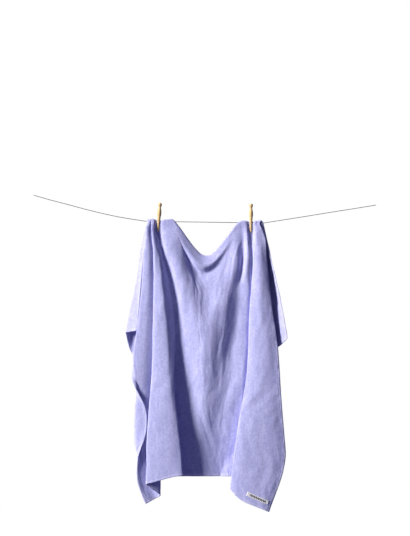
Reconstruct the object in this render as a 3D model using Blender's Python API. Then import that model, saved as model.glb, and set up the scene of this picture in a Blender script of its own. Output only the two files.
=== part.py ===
"""Quick dry towel pegged to a clothes line.

One rectangular cloth is folded in half over itself, held at two places by one-piece wooden
dolly pegs, and hangs in deep vertical folds in front of and below a taut line. Metres, +Z up,
-Y towards the front. The origin is on the line's axis, midway between the two pegs.

Every fold of the cloth is laid out on a drawing grid of 3.85 mm squares: columns count to the
right, rows count downwards, and the third number is how far forward the fold stands in
millimetres.
"""

import math

import bmesh
import bpy
import numpy as np
from mathutils import Vector
from mathutils.bvhtree import BVHTree

# ---------------------------------------------------------------- layout grid
SQUARE = 0.00385  # one square of the layout grid
COLUMN_0 = 205.0  # the grid column at x = 0
ROW_0 = 222.15  # the grid row at z = 0
HANG_BACK = 0.018  # how far the whole hanging cloth settles back under the line
HANG_FROM_ROW, HANG_OVER_ROWS = 238.0, 110.0

# ---------------------------------------------------------------- cloth
TOWEL_WIDTH = 0.800
TOWEL_LENGTH = 1.600
PILE_THICKNESS = 0.0034  # velour cloth, uncompressed
PINCHED_THICKNESS = 0.0011  # where a peg grips it
PRESSED = 0.45  # share of the thickness left at a sharp turn in a hem
THINNEST = 0.0006  # layers pressed together flatten the pile down to this at most
HEM_THICKNESS = 0.0030  # cloth turned over and stitched flat
HEM_WIDTH = 0.011
JOIN_GAP = 0.0003  # half of the parting between two pieces of the one cloth
END_GAP = 0.0012  # the same, along an end hem
TURN_GAP = 0.0022  # what a side hem's parting gains for each radian that the margin turns over between rows
FRONT_NEAR_ROWS = (0.0, 0.006, 0.016, 0.032, 0.049, 0.066, 0.088)  # distances down from the folded edge
BACK_NEAR_ROWS = (0.0, 0.006, 0.016, 0.032, 0.049, 0.070)
FRONT_ROWS = 24
BACK_ROWS = 13
PER_FOLD = 2  # mesh columns from one fold line to the next

# ---------------------------------------------------------------- seams and label
THREAD_WIDTH = 0.0009
THREAD_HEIGHT = 0.0006
THREAD_CLEAR = 0.0008
SEAM_FIRST_ROW = 6  # the side seams are drawn from this row below the line
SEAM_INSET = 0.0085  # seam line, measured in from the edge of the cloth
LABEL_LENGTH, LABEL_HEIGHT = 0.090, 0.016
LABEL_THICKNESS = 0.0007
LABEL_FROM_SIDE, LABEL_FROM_END = 0.017, 0.024
MARK_LENGTH, MARK_HEIGHT, MARK_STROKE = 0.066, 0.0060, 0.0017
MARK_TEETH = 9
LABEL_CLEAR = 0.0008

# ---------------------------------------------------------------- line
LINE_RADIUS = 0.00125
LINE_SIDES = 10
LINE_GRID = (
    (33.5, 195.1), (50, 199.9), (67, 204.3), (84, 208.9), (102.6, 213.5),
    (118, 216.8), (132, 219.2), (146, 221.3), (264, 223.0), (282, 220.1),
    (305, 216.5), (330, 212.4), (353, 208.8), (376.3, 205.0),
)

# ---------------------------------------------------------------- pegs
PEG_LENGTH = 0.1115
PEG_SLOT = 0.0069
PEG_SLOT_DEPTH = 0.062
PEG_SLOT_MIDDLE = 0.00165  # the slot's middle plane stands this far in front of the line's axis
PEG_SIDES = 20
# height above the tip, radius
PEG_PROFILE = (
    (0.0000, 0.0038), (0.0016, 0.0047), (0.0060, 0.0052), (0.0200, 0.0057),
    (0.0380, 0.0063), (0.0560, 0.0071), (0.0690, 0.0077), (0.0760, 0.0076),
    (0.0830, 0.0068), (0.0890, 0.0055), (0.0935, 0.0047), (0.0965, 0.0049),
    (0.0990, 0.0061), (0.1018, 0.0070), (0.1045, 0.0073), (0.1072, 0.0068),
    (0.1095, 0.0052), (0.1109, 0.0029),
)
# grid column and row of the tip, and of the middle of the head
LEFT_PEG_GRID = ((157.9, 231.6), (160.1, 204.5))
RIGHT_PEG_GRID = ((250.8, 232.6), (251.1, 206.9))

# ---------------------------------------------------------------- folds of the front half
# From the left side edge to the right side edge; each starts at the fold over the line.
FRONT_FOLDS = (
    # the free left side edge: behind the first fold, then out to the side and round to the front
    ((146.9, 220.3, 5), (147.0, 228, 8), (148.4, 240, 8), (148.4, 251, 8.5), (146, 283, 10), (143, 316, 12),
     (139.4, 341, 15), (136.4, 358, 19), (132.6, 369, 27), (131.6, 377, 36), (134.3, 385, 46), (137.8, 391.5, 51),
     (142.5, 399, 50), (146, 407, 47), (147.4, 416, 45), (146.2, 434, 44), (143.2, 443, 45), (140.3, 451, 45),
     (138.2, 458, 42), (137.1, 467, 37), (137.3, 481, 34), (139.4, 488, 32), (141.9, 495, 30), (145.6, 503.6, 29)),
    # outer left fold
    ((149.9, 219.9, 5), (146.2, 228, 19), (145.8, 238, 20), (144.3, 251, 21), (142.2, 283, 24), (138.9, 316, 30),
     (135.3, 341, 34), (133.4, 360, 36), (134.8, 370, 40), (136.3, 377, 40), (137.3, 385, 40), (137.0, 392, 38),
     (135.7, 405, 36), (135.1, 420, 35), (135.1, 437, 33), (136.2, 449, 31), (139.0, 456, 30), (141.3, 462, 29), (142.0, 470, 28),
     (142.9, 481, 27), (145, 488.5, 26), (147.4, 495, 26), (150.6, 501, 25)),
    ((150.7, 219.7, 5), (148.9, 228, 19), (149.6, 240, 21), (149.6, 251, 24), (149.2, 283, 28), (147.6, 316, 34),
     (146.0, 341, 37), (145.2, 360, 38), (145.2, 377, 38), (145.4, 392, 36), (145, 405, 33), (146, 420, 30),
     (147, 437, 27), (148, 455, 23), (149, 467, 21), (150, 481, 20), (152, 488, 20), (154, 494, 20), (155.8, 498.2, 20)),
    # inner fold hidden behind the left panel
    ((151.4, 219.6, 5), (151.4, 228, 12), (154, 240, 13), (157.5, 251, 13), (159.5, 283, 14), (160, 316, 14),
     (160, 341, 14), (160.2, 360, 14), (160.4, 385, 15), (160.5, 410, 16), (160.5, 440, 17), (160.5, 462, 19),
     (160.5, 478.8, 22), (160.4, 495.5, 25)),
    # left edge of the left panel
    ((152.1, 219.4, 5), (152.0, 228, 18), (152.4, 240, 22), (153.6, 248.5, 26), (154.2, 277.5, 33), (153.5, 316, 41),
     (152.7, 360, 47), (151.9, 376, 49), (148.7, 417.5, 54), (147.4, 440, 54), (146.8, 459, 52), (146.4, 473.5, 50),
     (146.6, 483.5, 48)),
    ((153.8, 219.6, 5), (154.2, 228, 15), (155.1, 240, 22), (156.2, 250, 28), (157, 277.5, 38), (157.7, 316, 47),
     (157.7, 360, 54), (157.4, 376, 56), (155.5, 417, 60), (154.5, 440, 60), (154.2, 459, 58), (154, 473, 56),
     (154.5, 481, 54)),
    # left side of the left peg's grip
    ((156.4, 220.5, 3.2), (156.1, 228, 4.2), (156.0, 233, 4.4), (156.4, 237, 10), (157.3, 245, 20), (159, 255, 27), (161.5, 277.5, 38),
     (164.5, 300, 47), (166.5, 321, 51), (167.6, 351, 56), (168.2, 364, 58), (171, 393, 62), (172.5, 425, 63),
     (173, 449, 62), (172.8, 475.7, 58)),
    # right edge of the left panel
    ((158.0, 220.75, 2.9), (157.6, 228, 3.6), (157.3, 233.2, 3.65), (157.6, 237, 6), (158.8, 245, 12), (161, 255, 20), (164, 277, 30),
     (167, 300, 37), (170, 325, 42), (171.8, 351, 48), (172.6, 364, 51), (174.5, 393, 56), (178, 425, 58),
     (181, 449, 58), (183, 474.4, 56)),
    # first valley, springing from the peg's tip
    ((159.6, 220.8, 2.9), (159.1, 228, 3.6), (158.7, 233.2, 3.65), (160.2, 245, 7), (163, 257, 7), (167, 273, 7),
     (170.6, 292, 7), (174.5, 321, 9), (175.5, 351, 11), (174.5, 364, 13), (174, 393, 15), (174.5, 425, 16),
     (175, 449, 12), (175.5, 476.5, 10)),
    ((161.2, 220.8, 2.9), (160.6, 228, 3.6), (160.3, 233.2, 3.65), (162.5, 245, 9), (166, 257, 11), (170.5, 273, 12),
     (174.5, 292, 13), (179, 321, 14), (181.5, 351, 15), (182, 364, 16), (184, 393, 17), (187, 425, 15),
     (190, 449, 8), (193, 476.8, 6)),
    ((163.2, 220.5, 3.4), (163.2, 228, 7), (164, 238, 14), (168, 251, 22), (173.5, 268, 28), (178, 285, 32),
     (184, 309, 34), (189, 333, 34), (190, 364, 32), (192, 393, 33), (196, 425, 36), (200, 449, 38), (203, 476.8, 40)),
    # bright ridge left of the middle
    ((167.2, 220.2, 5), (168, 228, 9), (171, 238, 17), (176, 252, 26), (180.5, 268, 34), (185, 285, 40),
     (192.4, 309, 45), (197.2, 333, 46), (198.8, 364, 44), (199.7, 388, 43), (200.9, 413, 42), (203.5, 445, 43),
     (208, 476.8, 44)),
    ((172.3, 219.9, 5), (173.8, 226, 9), (177, 235, 14), (181.5, 244.8, 18), (186, 262, 20), (191.5, 280, 22),
     (197, 297, 28), (202.5, 312, 34), (205, 333, 38), (206, 364, 40), (206.5, 393, 41), (208, 420, 42),
     (210, 449, 44), (212, 476.8, 45)),
    # the slack top edge between the pegs: a soft roll with a tuck below it
    ((178.6, 226.6, 5), (179.2, 233, 12), (180.6, 241, 16), (183.2, 248.5, 15), (185.5, 254.5, 8), (188.5, 266, 7),
     (194, 283, 8), (199.5, 300, 14), (205.5, 320, 24), (209, 345, 32), (210.5, 376, 37), (211, 405, 40),
     (213, 440, 43), (215.5, 476.8, 45)),
    ((188.4, 240.3, 5), (188.6, 246.5, 14), (189.2, 253, 20), (190.4, 258, 17), (192, 262.5, 8), (194.5, 273, 5),
     (198, 285, 8), (203, 300, 14), (208, 318, 22), (212, 345, 31), (213.5, 376, 36), (214, 405, 39),
     (216, 440, 43), (218, 476.8, 45)),
    ((195.6, 249.5, 5), (195.9, 255.5, 16), (196.3, 262, 24), (197, 266.8, 20), (198, 269.7, 10), (199.5, 277, 7),
     (202, 288, 12), (206, 302, 18), (210.5, 320, 25), (214.5, 345, 31), (216, 376, 35), (216.5, 405, 37),
     (218, 440, 40), (220, 476.8, 43)),
    ((202.6, 255.5, 5), (203.0, 261, 18), (203.3, 266.5, 25), (203.6, 270, 20), (204, 272.5, 11), (204.5, 279, 12),
     (206, 290, 17), (209.5, 304, 22), (213.5, 322, 27), (217, 345, 31), (218.5, 376, 33), (218.5, 405, 33),
     (220, 440, 37), (222, 476.8, 41)),
    ((209.6, 256.0, 5), (209.4, 261, 18), (209, 265.5, 23), (209, 268.5, 18), (209.3, 271, 12), (210, 279, 17),
     (211.5, 290, 22), (214, 304, 26), (217.5, 322, 29), (220.5, 345, 31), (221, 376, 29), (220.5, 405, 29),
     (221.5, 440, 34), (223.5, 476.8, 39)),
    ((216, 251.0, 5), (215.8, 256, 14), (215.3, 261, 20), (215.5, 264.5, 16), (216, 267.5, 13), (217, 277, 21),
     (218, 290, 26), (219.5, 304, 29), (221.5, 322, 30), (223, 345, 29), (222, 376, 24), (221.5, 405, 26),
     (223, 440, 33), (225, 476.8, 38)),
    ((222.5, 243, 5), (222, 249, 12), (221.8, 253.5, 16), (222.4, 257.5, 13), (223, 262, 15), (224.5, 275, 25),
     (225, 290, 30), (226, 304, 31), (227.3, 322, 29), (226.5, 345, 24), (224, 364, 17), (223.2, 385, 20),
     (223.5, 405, 26), (225, 440, 33), (227, 476.8, 37)),
    ((229.5, 234, 5), (228.8, 240, 10), (228.6, 244, 12), (229, 249, 12), (230.3, 256, 18), (231.5, 272, 28),
     (231.5, 290, 30), (231.2, 304, 28), (230.5, 322, 22), (229.4, 343, 14), (228, 364, 17), (227, 385, 24),
     (227, 405, 29), (228, 440, 32), (229, 476.8, 32)),
    ((236.3, 225.0, 5), (236.2, 231, 8), (236.3, 238, 11), (237, 250, 18), (237.6, 265, 24), (237, 280, 25),
     (235.9, 297, 20), (234.2, 315, 13), (232.6, 335, 14), (231, 352, 23), (230, 376, 33), (230.5, 405, 35),
     (231, 440, 32), (231.5, 476.8, 27)),
    # second valley at its top
    ((241.2, 221.5, 5), (242.4, 227, 6.5), (243.5, 235, 7), (243.3, 248.5, 8), (241.5, 268, 9), (240.0, 282, 11),
     (239.0, 297, 16), (238.3, 315, 26), (238.0, 340, 38), (237.0, 365, 44), (235.8, 388, 43), (234, 410, 40),
     (233.5, 440, 34), (234, 476.8, 22)),
    # ridge left of the right peg
    ((245.6, 221.5, 5), (246.6, 227, 9), (247.2, 238, 16), (247, 250, 24), (245.8, 268, 32), (244.6, 285, 39),
     (243, 303, 43), (242, 321, 46), (241, 352, 47), (239.5, 375, 45), (237.5, 395, 42), (236, 420, 36),
     (236, 440, 30), (236.5, 476.8, 18)),
    ((248.6, 221.9, 3.2), (248.6, 228, 3.8), (248.6, 233.8, 4.0), (248.9, 239, 9), (249.5, 250, 22), (249.3, 262, 29), (248, 285, 33),
     (246.2, 309, 35), (245.2, 335, 36), (244.5, 352, 35), (243.5, 375, 33), (242, 400, 28), (241, 425, 23),
     (240, 449, 18), (239.5, 476.8, 12)),
    # hidden pleat behind the right panel
    ((250.9, 222.1, 2.9), (250.9, 228, 3.6), (250.9, 234, 3.65), (251.5, 245, 10), (252.0, 258, 18), (251.5, 285, 22),
     (250.5, 309, 22), (250.5, 335, 20), (250.5, 352, 18), (250.2, 375, 16), (249, 400, 13), (246.5, 425, 4),
     (244.6, 449, -9), (243, 480, -15)),
    # left edge of the right panel
    ((253.0, 222.0, 3.2), (253.1, 228, 3.8), (253.2, 233.8, 4.0), (253.3, 239, 9), (253.7, 247, 20), (254.0, 258, 28), (252, 285, 36),
     (249.6, 309, 41), (248.3, 351.5, 46), (247, 370, 48), (243.4, 394.5, 51), (238.5, 425, 53), (234.9, 449, 52),
     (231.9, 471, 49), (230, 487.5, 47)),
    ((255.0, 221.8, 4.5), (255.3, 228, 9), (255.7, 236, 15), (256.7, 247, 25), (257, 258, 33), (255.5, 285, 43),
     (254, 309, 48), (253, 351, 54), (252, 370, 56), (249.5, 394, 59), (245.5, 425, 61), (242.5, 449, 59),
     (240, 471, 56), (239.5, 498, 53)),
    ((256.6, 221.5, 5), (255.8, 225, 9), (257.3, 230, 12), (259.3, 236, 14), (260.4, 247, 24), (260.8, 258, 33), (260, 285, 47),
     (260, 309, 53), (258.5, 351, 59), (256.5, 375, 60), (256, 400, 61), (257, 425, 62.5), (259, 449, 60),
     (262, 473, 55), (257, 506, 51)),
    ((258.2, 221.1, 5), (256.9, 224.4, 8.5), (258.7, 230, 12), (261.2, 237.5, 14), (262.6, 250, 24), (263.6, 262, 32),
     (265, 285, 43), (267, 309, 50), (268, 351, 59), (269, 390, 60), (272, 425, 60), (274.5, 449, 57),
     (274.5, 470, 53), (265, 509.3, 48)),
    # the free right side edge
    ((261.2, 220.9, 5), (259.7, 223.4, 8.5), (261.6, 227.8, 9.5), (264.4, 235, 10.5), (266.2, 243, 14), (266.3, 250, 18),
     (267.2, 262, 25), (268.8, 285, 36), (271.2, 303, 42), (274.8, 327, 48), (277.8, 349, 51), (280.8, 395.7, 52),
     (284, 435, 49), (285.4, 454, 47), (284.3, 463, 45), (281, 477, 44), (268.7, 511.1, 44)),
)

# How far forward the broad middle of the front half stands, by row and by column: a low crown that
# runs down and to the left from under the slack edge, with a valley on each side of it.
RELIEF_COLUMNS = (180, 184, 188, 192, 196, 200, 204, 208, 212, 216, 220, 224, 228, 232, 236, 240, 244, 248)
RELIEF = (
    (285, (33, 39, 40, 35, 28, 23, 21, 22, 25, 28, 31, 33, 32, 28, 22, 18, 24, 28)),
    (300, (31, 39, 44, 45, 41, 35, 31, 31, 34, 39, 43, 44, 40, 33, 25, 22, 27, 27)),
    (312, (27, 34, 41, 46, 47, 45, 42, 42, 44, 45, 45, 42, 36, 28, 21, 23, 27, 26)),
    (325, (22, 29, 36, 42, 47, 50, 51, 51, 51, 49, 46, 42, 35, 27, 22, 26, 28, 26)),
    (350, (22, 26, 31, 37, 42, 47, 51, 52, 50, 46, 41, 34, 26, 22, 26, 29, 30, 29)),
    (375, (20, 22, 25, 30, 37, 43, 46, 46, 43, 38, 33, 29, 28, 31, 33, 35, 35, 34)),
    (400, (16, 17, 18, 21, 27, 33, 37, 37, 34, 31, 29, 29, 30, 31, 32, 31, 30, 29)),
    (425, (14, 14, 15, 17, 19, 22, 23, 21, 19, 17, 16, 16, 17, 17, 17, 17, 16, 15)),
    (450, (8, 8, 8, 8, 8, 7.5, 7, 6, 5, 3.5, 2, 1, 0, 0, 0, 0, -1, -2)),
    (477, (6, 6, 6, 6, 6, 5.5, 5, 4, 2.5, 0.5, -2, -4, -5.5, -6.5, -7, -7, -8, -9)),
)
BACK_END_ROW = 350.0  # below this row the front half hangs alone
RELIEF_FROM_ROW, RELIEF_FULL_ROW = 274.0, 285.0
RELIEF_FOLDS = range(10, 25)
EVEN_FROM_ROW, EVEN_FULL_ROW, EVEN_SHARE = 276.0, 312.0, 0.85
RELIEF_ROWS = (286.0, 297.0, 308.0, 319.0, 330.0, 341.0, 353.0, 365.0, 377.0, 389.0, 401.0, 413.0, 425.0, 437.0,
               449.0, 463.0)

# ---------------------------------------------------------------- folds of the back half
# The two left fold lines and the right edge are laid out; the rest fan out between them.
BACK_EDGE_LEFT = ((146.9, 230, 1.0), (146.6, 237, -1), (144.4, 251, -4), (141.2, 283, -7), (138.3, 316, -9),
                  (136.5, 331, -10))
BACK_FOLD_LEFT = ((145.4, 230, -9), (143.4, 237, -12), (140.4, 251, -16), (138.5, 268, -20), (133.0, 297, -26),
                  (128.2, 318.7, -30), (124.9, 333.3, -32))
BACK_EDGE_RIGHT = ((264.6, 228, -1), (267.0, 239, 5), (269.5, 250, 12), (271.3, 260.6, 20),
                   (277.2, 285, 36), (282.1, 309, 47), (286.3, 333, 56), (286.7, 338, 56))
BACK_HEM_LEFT_COLUMN, BACK_HEM_RIGHT_COLUMN = 124.9, 286.7
BACK_DEPTH, BACK_WAVE, BACK_WAVES, BACK_TUCK = -38.0, 12.0, 4.5, -24.0
BACK_LIFT, BACK_LIFT_SHARE = 76.0, 0.085  # the right margin of the back half lies up against the front half
LINE_CLEAR = 0.0006  # between the line and the layer of cloth next to it
LAYER_CLEAR = 0.0004  # between the two layers of cloth over the line
HAIRPIN_RADIUS = 0.0042
HAIRPIN_FOLDS = (1, 3, 4, 7, 8, 25, 26)
GRIP_HOLD_ROW = 233.5  # the cloth stays flat in a peg's grip down to this row


# ---------------------------------------------------------------- helpers
def clear_scene():
    for obj in list(bpy.data.objects):
        bpy.data.objects.remove(obj, do_unlink=True)


def material(name, colour, roughness):
    made = bpy.data.materials.new(name)
    made.use_nodes = True
    shader = made.node_tree.nodes["Principled BSDF"]
    shader.inputs["Base Color"].default_value = (*colour, 1.0)
    shader.inputs["Roughness"].default_value = roughness
    return made


def add_object(name, vertices, faces, colour, roughness):
    mesh = bpy.data.meshes.new(name)
    mesh.from_pydata([tuple(map(float, v)) for v in vertices], [], faces)
    mesh.validate()
    obj = bpy.data.objects.new(name, mesh)
    bpy.context.scene.collection.objects.link(obj)
    mesh.materials.append(material(name + "_material", colour, roughness))
    bm = bmesh.new()
    bm.from_mesh(mesh)
    bmesh.ops.recalc_face_normals(bm, faces=bm.faces)
    bm.to_mesh(mesh)
    bm.free()
    return obj


def smooth(value):
    value = np.clip(value, 0.0, 1.0)
    return value * value * (3.0 - 2.0 * value)


def to_metres(points):
    """Grid column, grid row and millimetres forward, as x, y and z in metres."""
    points = np.asarray(points, float)
    x = (points[:, 0] - COLUMN_0) * SQUARE
    z = (ROW_0 - points[:, 1]) * SQUARE
    back = HANG_BACK * smooth((points[:, 1] - HANG_FROM_ROW) / HANG_OVER_ROWS)
    y = -(points[:, 2] / 1000.0 - back)
    return np.stack([x, y, z], axis=1)


def spline(points, count_per_span):
    """A centripetal Catmull-Rom curve through the points; (curve, index of each point on it)."""
    points = np.asarray(points, float)
    ends = [2 * points[0] - points[1]], [2 * points[-1] - points[-2]]
    p = np.concatenate([ends[0], points, ends[1]])
    knots = np.concatenate([[0.0], np.cumsum(np.maximum(np.linalg.norm(np.diff(p, axis=0), axis=1), 1e-7) ** 0.5)])
    made = []
    for i in range(1, len(p) - 2):
        a, b, c, d = p[i - 1 : i + 3]
        t0, t1, t2, t3 = knots[i - 1 : i + 3]
        for k in range(count_per_span):
            t = t1 + (t2 - t1) * k / count_per_span
            a1 = (t1 - t) / (t1 - t0) * a + (t - t0) / (t1 - t0) * b
            a2 = (t2 - t) / (t2 - t1) * b + (t - t1) / (t2 - t1) * c
            a3 = (t3 - t) / (t3 - t2) * c + (t - t2) / (t3 - t2) * d
            b1 = (t2 - t) / (t2 - t0) * a1 + (t - t0) / (t2 - t0) * a2
            b2 = (t3 - t) / (t3 - t1) * a2 + (t - t1) / (t3 - t1) * a3
            made.append((t2 - t) / (t2 - t1) * b1 + (t - t1) / (t2 - t1) * b2)
    made.append(points[-1])
    return np.array(made), [i * count_per_span for i in range(len(points))]


def lengths(points):
    return np.concatenate([[0.0], np.cumsum(np.linalg.norm(np.diff(points, axis=0), axis=1))])


def at_length(points, wanted):
    along = lengths(points)
    return np.stack([np.interp(wanted, along, points[:, k]) for k in range(3)], axis=1)


# ---------------------------------------------------------------- the cloth's middle surface
def over_the_line(index):
    """Where a fold line crosses the folded edge: (front layer, crest, back layer) in metres."""
    start = to_metres([FRONT_FOLDS[index][0]])
    full = HEM_THICKNESS if index in (0, 1, len(FRONT_FOLDS) - 2, len(FRONT_FOLDS) - 1) else PILE_THICKNESS
    thick = float(thickness_at(start[None], full)[0, 0])
    back = LINE_RADIUS + LINE_CLEAR + thick / 2
    front = back + thick + LAYER_CLEAR
    x, z = start[0, 0], start[0, 2]
    crest = np.array([x, -(front + back) / 2, z + (front - back) / 2])
    return np.array([x, -front, z]), crest, np.array([x, -back, z]), thick


def relief(column, row):
    """The middle's relief at a grid place, in millimetres forward, with its corners eased."""
    total = 0.0
    for shift, weight in ((-3.0, 0.25), (0.0, 0.5), (3.0, 0.25)):
        across = [np.interp(column + shift, RELIEF_COLUMNS, depths) for _, depths in RELIEF]
        for drop, share in ((-6.0, 0.25), (0.0, 0.5), (6.0, 0.25)):
            total += weight * share * float(np.interp(row + drop, [r for r, _ in RELIEF], across))
    return total


def front_fold(index):
    front, crest, _, _ = over_the_line(index)
    places = [list(p) for p in FRONT_FOLDS[index]]
    if index in RELIEF_FOLDS:
        columns, rows = [p[0] for p in places], [p[1] for p in places]
        first, last = RELIEF_FOLDS[0] - 1, RELIEF_FOLDS[-1]
        outer = [[[p[k] for p in FRONT_FOLDS[f]] for k in (0, 1)] for f in (first, last)]

        def spaced(row):
            """The fold's column: as laid near the slack edge, evenly spaced lower down."""
            low, high = (float(np.interp(row, r, c)) for c, r in outer)
            even = low + (high - low) * (index - first) / (last - first)
            share = EVEN_SHARE * float(smooth((row - EVEN_FROM_ROW) / (EVEN_FULL_ROW - EVEN_FROM_ROW)))
            return (1 - share) * float(np.interp(row, rows, columns)) + share * even

        extra = [r for r in RELIEF_ROWS if r < rows[-1] - 3.0]
        places = [p for p in places if p[1] < RELIEF_ROWS[0] - 1.0]
        places += [[spaced(r), r, 0.0] for r in extra + [rows[-1]]]
        for p in places:
            share = smooth((p[1] - RELIEF_FROM_ROW) / (RELIEF_FULL_ROW - RELIEF_FROM_ROW))
            p[2] += float(share) * (relief(p[0], p[1]) - p[2])
    points = to_metres(places)
    free = smooth((np.array([p[1] for p in places]) - BACK_END_ROW) / 40.0)
    points[:, 1] = np.minimum(points[:, 1], front[1] * (1 - free) + 0.012 * free)
    points[0] = front
    return np.concatenate([[crest], points])


def back_fold(index, count, front_length):
    """Control points of one fold line of the back half, from the crest down."""
    _, crest, back, thick = over_the_line(index)
    start = FRONT_FOLDS[index][0]
    hold = back - np.array([0, 0, 3.2 * SQUARE])
    laid = {0: BACK_EDGE_LEFT, 1: BACK_FOLD_LEFT, count - 1: BACK_EDGE_RIGHT}.get(index)
    if laid:
        if index == count - 1:
            back = back + np.array([1.6 * SQUARE, 0, -0.8 * SQUARE])
            hold = back + np.array([0.7 * SQUARE, 0, -1.6 * SQUARE])
        return np.concatenate([[crest, back, hold], to_metres(laid)])
    points = [crest, back, hold]
    if thick < 0.6 * PILE_THICKNESS:
        points.append(np.array([back[0], back[1], (ROW_0 - GRIP_HOLD_ROW) * SQUARE]))
    first_row = ROW_0 - points[-1][2] / SQUARE
    share = (index - 1) / (count - 2)
    drop = (TOWEL_LENGTH - front_length) / SQUARE
    last_row = start[1] + drop
    hem_column = BACK_HEM_LEFT_COLUMN + share * (BACK_HEM_RIGHT_COLUMN - BACK_HEM_LEFT_COLUMN)
    # the back half settles into broad waves as it drops
    wave = BACK_WAVE * math.sin(2 * math.pi * BACK_WAVES * share)
    edge = min(1.0, 6.0 * share, 6.0 * (1.0 - share))
    tuck = BACK_TUCK * math.exp(-((share / 0.12) ** 2))  # the back stays behind its own folded left margin
    for step in (0.07, 0.16, 0.28, 0.44, 0.62, 0.81, 1.0):
        row = first_row + (last_row - first_row) * step
        spread = smooth((row - start[1]) / drop * 0.95 + 0.02) ** 0.85
        settle = smooth(step * 2.0)
        lift = BACK_LIFT * float(smooth((row - 262.0) / 60.0)) * math.exp(-(((1.0 - share) / BACK_LIFT_SHARE) ** 2))
        depth = settle * (BACK_DEPTH * (0.72 + 0.28 * edge) + wave * edge + tuck + lift) + (1 - settle) * 1.0
        points.append(to_metres([(start[0] + (hem_column - start[0]) * spread, row, depth)])[0])
    return np.array(points)


def rounded(points, hairpins):
    """The row's fold points, with two more beside each hairpin so its two arms stay apart."""
    made = []
    for i, p in enumerate(points):
        if i not in hairpins:
            made.append(p)
            continue
        before, after = points[i - 1] - p, points[i + 1] - p
        long_before, long_after = max(np.linalg.norm(before), 1e-9), max(np.linalg.norm(after), 1e-9)
        before, after = before / long_before, after / long_after
        reach_before, reach_after = min(HAIRPIN_RADIUS, 0.35 * long_before), min(HAIRPIN_RADIUS, 0.35 * long_after)
        apart = before - after
        spread = max(np.linalg.norm(apart), 1e-9)
        extra = min(reach_before, reach_after) * max(0.0, 1 - spread / 2) * apart / spread
        made += [p + before * reach_before + extra, p, p + after * reach_after - extra]
    return np.array(made)


def cloth_surface(per_fold, front_rows, back_rows):
    """The cloth's middle surface as rows by columns of points, with the row of the folded edge."""
    count = len(FRONT_FOLDS)
    # rows: close together over the line and at the ends of the pegs, one row at each side of the hem
    def row_places(near, count, end):
        return np.concatenate([near, np.linspace(near[-1], end, count - len(near) + 1)[1:]])

    folds = []
    for index in range(count):
        front, _ = spline(front_fold(index), 8)
        f_len = lengths(front)[-1]
        back, _ = spline(back_fold(index, count, f_len), 8)
        b_len = lengths(back)[-1]
        f_at = np.concatenate([row_places(FRONT_NEAR_ROWS, front_rows, f_len - HEM_WIDTH - END_GAP),
                               [f_len - HEM_WIDTH + END_GAP, f_len]])
        b_at = np.concatenate([row_places(BACK_NEAR_ROWS, back_rows, b_len - HEM_WIDTH - END_GAP),
                               [b_len - HEM_WIDTH + END_GAP, b_len]])
        folds.append(np.concatenate([at_length(back, b_at)[::-1], at_length(front, f_at)[1:]]))
    folds = np.array(folds)  # folds by rows by 3
    ridge = back_rows + 1
    left_gap = JOIN_GAP + TURN_GAP * turning(folds[1] - folds[0])
    right_gap = JOIN_GAP + TURN_GAP * turning(folds[-2] - folds[-1])
    rows = []
    for r in range(folds.shape[1]):
        points = rounded(folds[:, r], HAIRPIN_FOLDS)
        across, index = spline(points, 12)
        total = lengths(across)
        marks = total[index]
        inner = [HEM_WIDTH + left_gap[r]]
        for k in range(1, len(marks)):
            steps = per_fold if marks[k] - marks[k - 1] > 0 and not near_hairpin(k) else 1
            for j in range(1, steps + 1):
                inner.append(marks[k - 1] + (marks[k] - marks[k - 1]) * j / steps)
        inner = np.array(inner[:-1] + [total[-1] - HEM_WIDTH - right_gap[r]])
        step = 0.0012
        for k in range(1, len(inner)):
            inner[k] = max(inner[k], inner[k - 1] + step)
        inner[-1] = total[-1] - HEM_WIDTH - right_gap[r]
        for k in range(len(inner) - 2, -1, -1):
            inner[k] = min(inner[k], inner[k + 1] - step)
        s = np.concatenate([[0.0, HEM_WIDTH - left_gap[r]], inner, [total[-1] - HEM_WIDTH + right_gap[r], total[-1]]])
        rows.append(at_length(across, s))
    return np.array(rows), ridge


def turning(across):
    """For each row, the larger angle between its direction and those of the rows beside it."""
    across = across / np.maximum(np.linalg.norm(across, axis=1, keepdims=True), 1e-9)
    angle = np.arccos(np.clip(np.sum(across[1:] * across[:-1], axis=1), -1, 1))
    return np.maximum(np.concatenate([[0], angle]), np.concatenate([angle, [0]]))


def near_hairpin(span):
    """Whether this span of a row's points is one of the two short ones at a hairpin's tip."""
    at = 0
    for i in range(len(FRONT_FOLDS)):
        if i in HAIRPIN_FOLDS:
            if span in (at + 1, at + 2):
                return True
            at += 3
        else:
            at += 1
    return False


def surface_normals(grid):
    """Unit normals of a grid of points, pointing to the front of the front half."""
    down = np.gradient(grid, axis=0)
    across = np.gradient(grid, axis=1)
    normal = np.cross(across, down)
    normal /= np.maximum(np.linalg.norm(normal, axis=2, keepdims=True), 1e-12)
    # the two sides of each join between pieces lean the same way
    for a, b in ((1, 2), (-3, -2)):
        normal[a] = normal[b] = normal[a] + normal[b]
        normal[:, a] = normal[:, b] = normal[:, a] + normal[:, b]
    return normal / np.maximum(np.linalg.norm(normal, axis=2, keepdims=True), 1e-12)


def peg_axes():
    made = []
    for tip, head in (LEFT_PEG_GRID, RIGHT_PEG_GRID):
        tip = Vector(((tip[0] - COLUMN_0) * SQUARE, -PEG_SLOT_MIDDLE, (ROW_0 - tip[1]) * SQUARE))
        head = Vector(((head[0] - COLUMN_0) * SQUARE, -PEG_SLOT_MIDDLE, (ROW_0 - head[1]) * SQUARE))
        made.append((tip, (head - tip).normalized()))
    return made


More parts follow.
